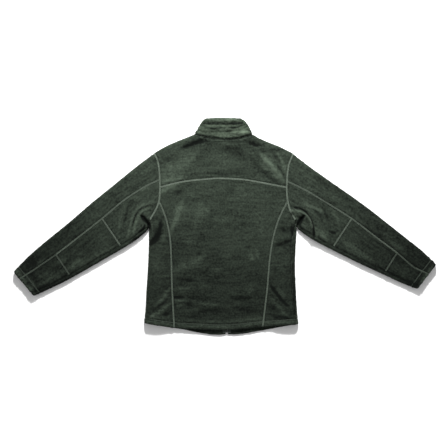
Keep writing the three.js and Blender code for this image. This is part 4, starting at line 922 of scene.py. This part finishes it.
def buildPile():
    # Tufts of the pile as a height, and the light and dark of their tips and roots.
    group, enter, leave = newGroup(
        "fleecePile",
        [("Vector", "NodeSocketVector", None), ("Tuft Size", "NodeSocketFloat", 1.0)],
        [("Height", "NodeSocketFloat"), ("Shade", "NodeSocketFloat")])
    scaled = addNode(group, "ShaderNodeVectorMath", operation="SCALE")
    group.links.new(enter.outputs["Vector"], scaled.inputs[0])
    group.links.new(enter.outputs["Tuft Size"], scaled.inputs["Scale"])
    vector = scaled.outputs[0]
    fine = noiseNode(group, vector, 420.0, 3.0, 0.65)
    clump = noiseNode(group, vector, 150.0, 2.0, 0.55)
    tufts = addNode(group, "ShaderNodeTexVoronoi", feature="SMOOTH_F1")
    setInputs(tufts, Scale=260.0, Smoothness=0.6)
    group.links.new(vector, tufts.inputs["Vector"])
    roots = mathNode(group, "SUBTRACT", 1.0, tufts.outputs["Distance"])
    height = mathNode(group, "ADD", mathNode(group, "MULTIPLY", fine, 0.35),
                      mathNode(group, "ADD", mathNode(group, "MULTIPLY", clump, 0.45),
                               mathNode(group, "MULTIPLY", roots, 0.35)))
    group.links.new(height, leave.inputs["Height"])
    shade = mathNode(group, "ADD", mathNode(group, "MULTIPLY", clump, 0.6),
                     mathNode(group, "MULTIPLY", fine, 0.4))
    group.links.new(shade, leave.inputs["Shade"])
    return group


def buildStreaks():
    # Faint ribs and brushed streaks across the cloth, and large worn or flattened patches.
    group, enter, leave = newGroup(
        "fleeceStreaks", [("Vector", "NodeSocketVector", None), ("Turn", "NodeSocketFloat", 0.0)],
        [("Streak", "NodeSocketFloat"), ("Patch", "NodeSocketFloat")])
    turned = addNode(group, "ShaderNodeVectorRotate", rotation_type="Z_AXIS")
    group.links.new(enter.outputs["Vector"], turned.inputs["Vector"])
    group.links.new(enter.outputs["Turn"], turned.inputs["Angle"])
    stretched = addNode(group, "ShaderNodeVectorMath", operation="MULTIPLY")
    stretched.inputs[1].default_value = (0.16, 1.0, 1.0)
    group.links.new(turned.outputs[0], stretched.inputs[0])
    ribs = noiseNode(group, stretched.outputs[0], 130.0, 2.0, 0.5)
    long = noiseNode(group, stretched.outputs[0], 46.0, 2.0, 0.5)
    streak = mathNode(group, "ADD", mathNode(group, "MULTIPLY", ribs, 0.65),
                      mathNode(group, "MULTIPLY", long, 0.35))
    group.links.new(streak, leave.inputs["Streak"])
    patch = noiseNode(group, enter.outputs["Vector"], 7.5, 3.0, 0.5)
    group.links.new(patch, leave.inputs["Patch"])
    return group


pileGroup = buildPile()
streakGroup = buildStreaks()
fleeceSettings = {
    "dark": (0.0012, 0.0021, 0.0014),
    "light": (0.0565, 0.075, 0.0545),
    "napAndLightGain": 0.45,
    "contrastGain": 0.9,
    "sheenTint": (0.62, 0.74, 0.60, 1.0),
    "sheen": 0.16,
    "bump": 0.85,
    "bumpReach": 0.0022,
}


def makeFleece(name, turn=0.0, lighten=1.0, warmth=0.0):
    material = bpy.data.materials.new(name)
    material.use_nodes = True
    tree = material.node_tree
    shader = tree.nodes["Principled BSDF"]
    coords = addNode(tree, "ShaderNodeTexCoord").outputs["Object"]
    pile = addNode(tree, "ShaderNodeGroup", node_tree=pileGroup)
    streaks = addNode(tree, "ShaderNodeGroup", node_tree=streakGroup)
    tree.links.new(coords, pile.inputs["Vector"])
    tree.links.new(coords, streaks.inputs["Vector"])
    streaks.inputs["Turn"].default_value = turn
    blend = mathNode(tree, "ADD", mathNode(tree, "MULTIPLY", pile.outputs["Shade"], 0.56),
                     mathNode(tree, "ADD", mathNode(tree, "MULTIPLY", streaks.outputs["Streak"], 0.3),
                              mathNode(tree, "MULTIPLY", streaks.outputs["Patch"], 0.13)))
    spread = addNode(tree, "ShaderNodeMapRange")
    setInputs(spread, From_Min=0.34, From_Max=0.65, To_Min=-0.34, To_Max=0.34)
    tree.links.new(blend, spread.inputs["Value"])
    nearSeam = addNode(tree, "ShaderNodeAttribute", attribute_name="seamNear")
    napAndLight = addNode(tree, "ShaderNodeAttribute", attribute_name="napAndPaintedLight")
    # Painted shade: darker along the seam grooves.
    sunk = mathNode(tree, "MULTIPLY", nearSeam.outputs["Fac"], -0.16)
    # Nap tone with painted shade and painted highlights, added to the colour.
    napAndLightTone = mathNode(tree, "MULTIPLY", napAndLight.outputs["Fac"], fleeceSettings["napAndLightGain"])
    # Pile contrast and bump are lower where the painted shade is darker.
    napAndLightContrast = mathNode(tree, "MAXIMUM", mathNode(tree, "MULTIPLY_ADD", napAndLight.outputs["Fac"],
                                              fleeceSettings["contrastGain"], 1.0), 0.35)
    napAndLightContrast = mathNode(tree, "MINIMUM", napAndLightContrast, 1.25)
    tufted = mathNode(tree, "MULTIPLY_ADD", spread.outputs[0], napAndLightContrast, 0.29)
    share = mathNode(tree, "ADD", tufted, mathNode(tree, "ADD", sunk, napAndLightTone))
    colours = addNode(tree, "ShaderNodeValToRGB")
    dark, light = fleeceSettings["dark"], fleeceSettings["light"]
    colours.color_ramp.elements[0].color = (*[c * lighten for c in dark], 1)
    colours.color_ramp.elements[1].color = (light[0] * lighten * (1 + warmth), light[1] * lighten * (1 + warmth),
                                            light[2] * lighten * (1 - warmth), 1)
    tree.links.new(share, colours.inputs["Fac"])
    tree.links.new(colours.outputs["Color"], shader.inputs["Base Color"])
    bump = addNode(tree, "ShaderNodeBump")
    setInputs(bump, Strength=fleeceSettings["bump"], Distance=fleeceSettings["bumpReach"])
    height = mathNode(tree, "ADD", pile.outputs["Height"],
                      mathNode(tree, "MULTIPLY", streaks.outputs["Streak"], 0.5))
    height = mathNode(tree, "MULTIPLY", height, napAndLightContrast)
    tree.links.new(height, bump.inputs["Height"])
    tree.links.new(bump.outputs["Normal"], shader.inputs["Normal"])
    # Less sheen where the painted shade is darkest.
    shine = mathNode(tree, "MULTIPLY_ADD", napAndLight.outputs["Fac"], 0.8, 1.0)
    shine = mathNode(tree, "MULTIPLY", mathNode(tree, "MAXIMUM", shine, 0.0), fleeceSettings["sheen"])
    tree.links.new(shine, shader.inputs["Sheen Weight"])
    setInputs(shader, Roughness=0.96, Sheen_Roughness=0.45, Sheen_Tint=fleeceSettings["sheenTint"],
              Specular_IOR_Level=0.1)
    return material


sleeveTurn = {"left": math.radians(-37), "right": math.radians(34)}
fleeceBody = makeFleece("fleeceBody")
# Painted light: the collar's fleece is the body's, made lighter where the collar stands up nearer the light.
fleeceCollar = makeFleece("fleeceCollar", lighten=1.37, warmth=0.015)
fleeceSleeve = {name: makeFleece("fleeceSleeve_" + name, turn=sleeveTurn[name]) for name in sideNames}


def makePlain(name, colour, roughness, metallic=0.0, weaveScale=900.0, strength=0.25):
    material = bpy.data.materials.new(name)
    material.use_nodes = True
    tree = material.node_tree
    shader = tree.nodes["Principled BSDF"]
    coords = addNode(tree, "ShaderNodeTexCoord").outputs["Object"]
    grain = noiseNode(tree, coords, weaveScale, 2.0, 0.6)
    colours = addNode(tree, "ShaderNodeValToRGB")
    colours.color_ramp.elements[0].position = 0.3
    colours.color_ramp.elements[1].position = 0.75
    colours.color_ramp.elements[0].color = (*[c * 0.72 for c in colour], 1)
    colours.color_ramp.elements[1].color = (*[c * 1.25 for c in colour], 1)
    tree.links.new(grain, colours.inputs["Fac"])
    tree.links.new(colours.outputs["Color"], shader.inputs["Base Color"])
    bump = addNode(tree, "ShaderNodeBump")
    setInputs(bump, Strength=strength, Distance=0.0003)
    tree.links.new(grain, bump.inputs["Height"])
    tree.links.new(bump.outputs["Normal"], shader.inputs["Normal"])
    setInputs(shader, Roughness=roughness, Metallic=metallic)
    return material




def makeThread():
    # Grey green thread; the pile hides part of it along the less open seams.
    material = bpy.data.materials.new("seamThread")
    material.use_nodes = True
    tree = material.node_tree
    shader = tree.nodes["Principled BSDF"]
    coords = addNode(tree, "ShaderNodeTexCoord").outputs["Object"]
    fibre = noiseNode(tree, coords, 700.0, 2.0, 0.6)
    tone = addNode(tree, "ShaderNodeAttribute", attribute_name="threadTone")
    share = mathNode(tree, "MULTIPLY", tone.outputs["Fac"], mathNode(tree, "ADD", fibre, 0.45))
    colours = addNode(tree, "ShaderNodeValToRGB")
    colours.color_ramp.elements[0].color = (*threadColours["deep"], 1)
    colours.color_ramp.elements[1].color = (*threadColours["open"], 1)
    tree.links.new(share, colours.inputs["Fac"])
    tree.links.new(colours.outputs["Color"], shader.inputs["Base Color"])
    lustre = mathNode(tree, "MULTIPLY", tone.outputs["Fac"], threadSettings["sheen"])
    tree.links.new(lustre, shader.inputs["Sheen Weight"])
    setInputs(shader, Roughness=0.85, Specular_IOR_Level=0.15)
    return material


threadColours = {"deep": (0.011, 0.016, 0.011), "open": (0.122, 0.155, 0.118)}
threadMaterial = makeThread()
tapeMaterial = makePlain("zipTape", (0.02, 0.028, 0.023), 0.85)
toothMaterial = makePlain("zipTeeth", (0.022, 0.026, 0.023), 0.4)
metalMaterial = makePlain("zipMetal", (0.06, 0.065, 0.062), 0.35, metallic=0.9, strength=0.1)

# Zip: teeth over the plain strip, and a softened slider, pull and box on their own nodes.
zipSettings = {"pitch": 2.8, "toothLength": 3.4, "toothWidth": 1.5, "toothThick": 2.3}


def copyNode(node, name, bevel):
    piece = newObject(name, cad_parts[node].data.copy())
    piece.data.materials.clear()
    makeActive(piece)
    bpy.ops.object.mode_set(mode="EDIT")
    bpy.ops.mesh.select_all(action="SELECT")
    bpy.ops.mesh.remove_doubles(threshold=0.00002)
    bpy.ops.mesh.dissolve_limited(angle_limit=math.radians(1))
    bpy.ops.object.mode_set(mode="OBJECT")
    if bevel:
        soften = piece.modifiers.new("soften", "BEVEL")
        soften.width = bevel
        soften.segments = 2
        soften.limit_method = "ANGLE"
        bpy.ops.object.modifier_apply(modifier="soften")
        bpy.ops.object.shade_smooth_by_angle(angle=math.radians(35))
    return piece


zipPieces = {
    "zip_slider": (copyNode("zip_slider", "slider_body", 0.0002), metalMaterial, "jacket"),
    "zip_pull": (copyNode("zip_pull", "pull_tab", 0.00015), metalMaterial, "pull"),
    "zip_box": (copyNode("zip_box", "zip_foot_box", 0.0006), metalMaterial, "jacket"),
    "zip_tape_left": (copyNode("zip_tape_left", "tape_left", 0), tapeMaterial, "jacket"),
    "zip_tape_right": (copyNode("zip_tape_right", "tape_right", 0), tapeMaterial, "jacket"),
}


def makeTeeth():
    # One moulded tooth, repeated by turns on both sides of the zip.
    bpy.ops.object.select_all(action="DESELECT")
    bpy.ops.mesh.primitive_cube_add(size=1, location=(0, 0, 0))
    tooth = bpy.context.active_object
    bpy.ops.object.mode_set(mode="EDIT")
    bpy.ops.mesh.bevel(offset=0.22, segments=2, affect="EDGES")
    bpy.ops.object.mode_set(mode="OBJECT")
    co = readPoints(tooth.data)
    faces = [tuple(face.vertices) for face in tooth.data.polygons]
    bpy.data.objects.remove(tooth)
    size = np.array([zipSettings["toothLength"], zipSettings["toothWidth"], zipSettings["toothThick"]])
    chain = readPoints(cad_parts["zip_chain"].data)
    order = chain[:, 1].argsort()
    ends = chain[order[:4]].mean(0), chain[order[-4:]].mean(0)
    length = np.linalg.norm((ends[1] - ends[0])[:2]) / mm
    way = (ends[1] - ends[0]) / np.linalg.norm(ends[1] - ends[0])
    rows = np.unique(np.round(chain[:, 1], 5))
    heights = [chain[np.abs(chain[:, 1] - row) < 0.0015][:, 2].mean() for row in rows]
    vertices, allFaces = [], []
    count = int(length / zipSettings["pitch"])
    for k in range(count):
        spot = ends[0] + (ends[1] - ends[0]) * ((k + 0.5) / count)
        side = -1 if k % 2 else 1
        middle = np.array([spot[0] + side * 0.95 * mm, spot[1], np.interp(spot[1], rows, heights)])
        base = len(vertices)
        vertices.extend((middle + co * size * mm).tolist())
        allFaces.extend(tuple(base + v for v in face) for face in faces)
    mesh = bpy.data.meshes.new("zip_teeth")
    mesh.from_pydata(vertices, [], allFaces)
    mesh.update()
    return newObject("zip_teeth", mesh)


teeth = makeTeeth()
zipPieces["zip_chain"] = (teeth, toothMaterial, "jacket")
for node, (piece, material, body) in zipPieces.items():
    piece.data.materials.append(material)
    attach(piece, body)
    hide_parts(node)

for node, piece in panels.items():
    if node == "collar":
        piece.data.materials.append(fleeceCollar)
    elif node.startswith("sleeve"):
        piece.data.materials.append(fleeceSleeve[node.rsplit("_", 1)[1]])
    else:
        piece.data.materials.append(fleeceBody)
    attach(piece, "jacket")
    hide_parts(node)
for piece in stitches.values():
    piece.data.materials.append(threadMaterial)
    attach(piece, "jacket")
print("materials and bodies set")

# Floor, light and camera: straight down, the jacket on a pale floor, light from beyond the collar.
bpy.ops.object.select_all(action="DESELECT")
bpy.ops.mesh.primitive_plane_add(size=14, location=(0, 0, -0.0006))
floor = bpy.context.active_object
floor.name = "floor"
bpy.ops.object.transform_apply(location=True)
floorMaterial = bpy.data.materials.new("paleFloor")
floorMaterial.use_nodes = True
setInputs(floorMaterial.node_tree.nodes["Principled BSDF"], Base_Color=(0.92, 0.92, 0.92, 1), Roughness=0.9,
          Specular_IOR_Level=0.1)
floor.data.materials.append(floorMaterial)

lightSettings = {"place": (0.15, 2.95, 2.15), "size": 0.5, "power": 275.0, "sky": 0.5,
                 "glowPlace": (0.0, 0.78, 0.66), "glowSize": 0.7, "glowPower": 5.0}
keyData = bpy.data.lights.new("key", "AREA")
keyData.shape = "DISK"
keyData.size = lightSettings["size"]
keyData.energy = lightSettings["power"]
key = newObject("key", keyData)
key.location = lightSettings["place"]
key.rotation_euler = (Vector((0, -0.1, 0)) - key.location).to_track_quat("-Z", "Y").to_euler()
glowData = bpy.data.lights.new("glow", "AREA")
glowData.shape = "DISK"
glowData.size = lightSettings["glowSize"]
glowData.energy = lightSettings["glowPower"]
glow = newObject("glow", glowData)
glow.location = lightSettings["glowPlace"]
glow.rotation_euler = (Vector((0, 0.05, 0)) - glow.location).to_track_quat("-Z", "Y").to_euler()
world = bpy.data.worlds.new("studio")
world.use_nodes = True
setInputs(world.node_tree.nodes["Background"], Color=(1, 1, 1, 1), Strength=lightSettings["sky"])
bpy.context.scene.world = world
bpy.context.scene.view_settings.view_transform = "Standard"

cameraSettings = {"middle": (-0.0034, 0.0092), "distance": 4.0, "frameWidth": 1.6576}
cameraData = bpy.data.cameras.new("camera")
cameraData.sensor_width = 36
cameraData.lens = 36 * cameraSettings["distance"] / cameraSettings["frameWidth"]
camera = newObject("camera", cameraData)
camera.location = (*cameraSettings["middle"], cameraSettings["distance"] + 0.01)
bpy.context.scene.camera = camera
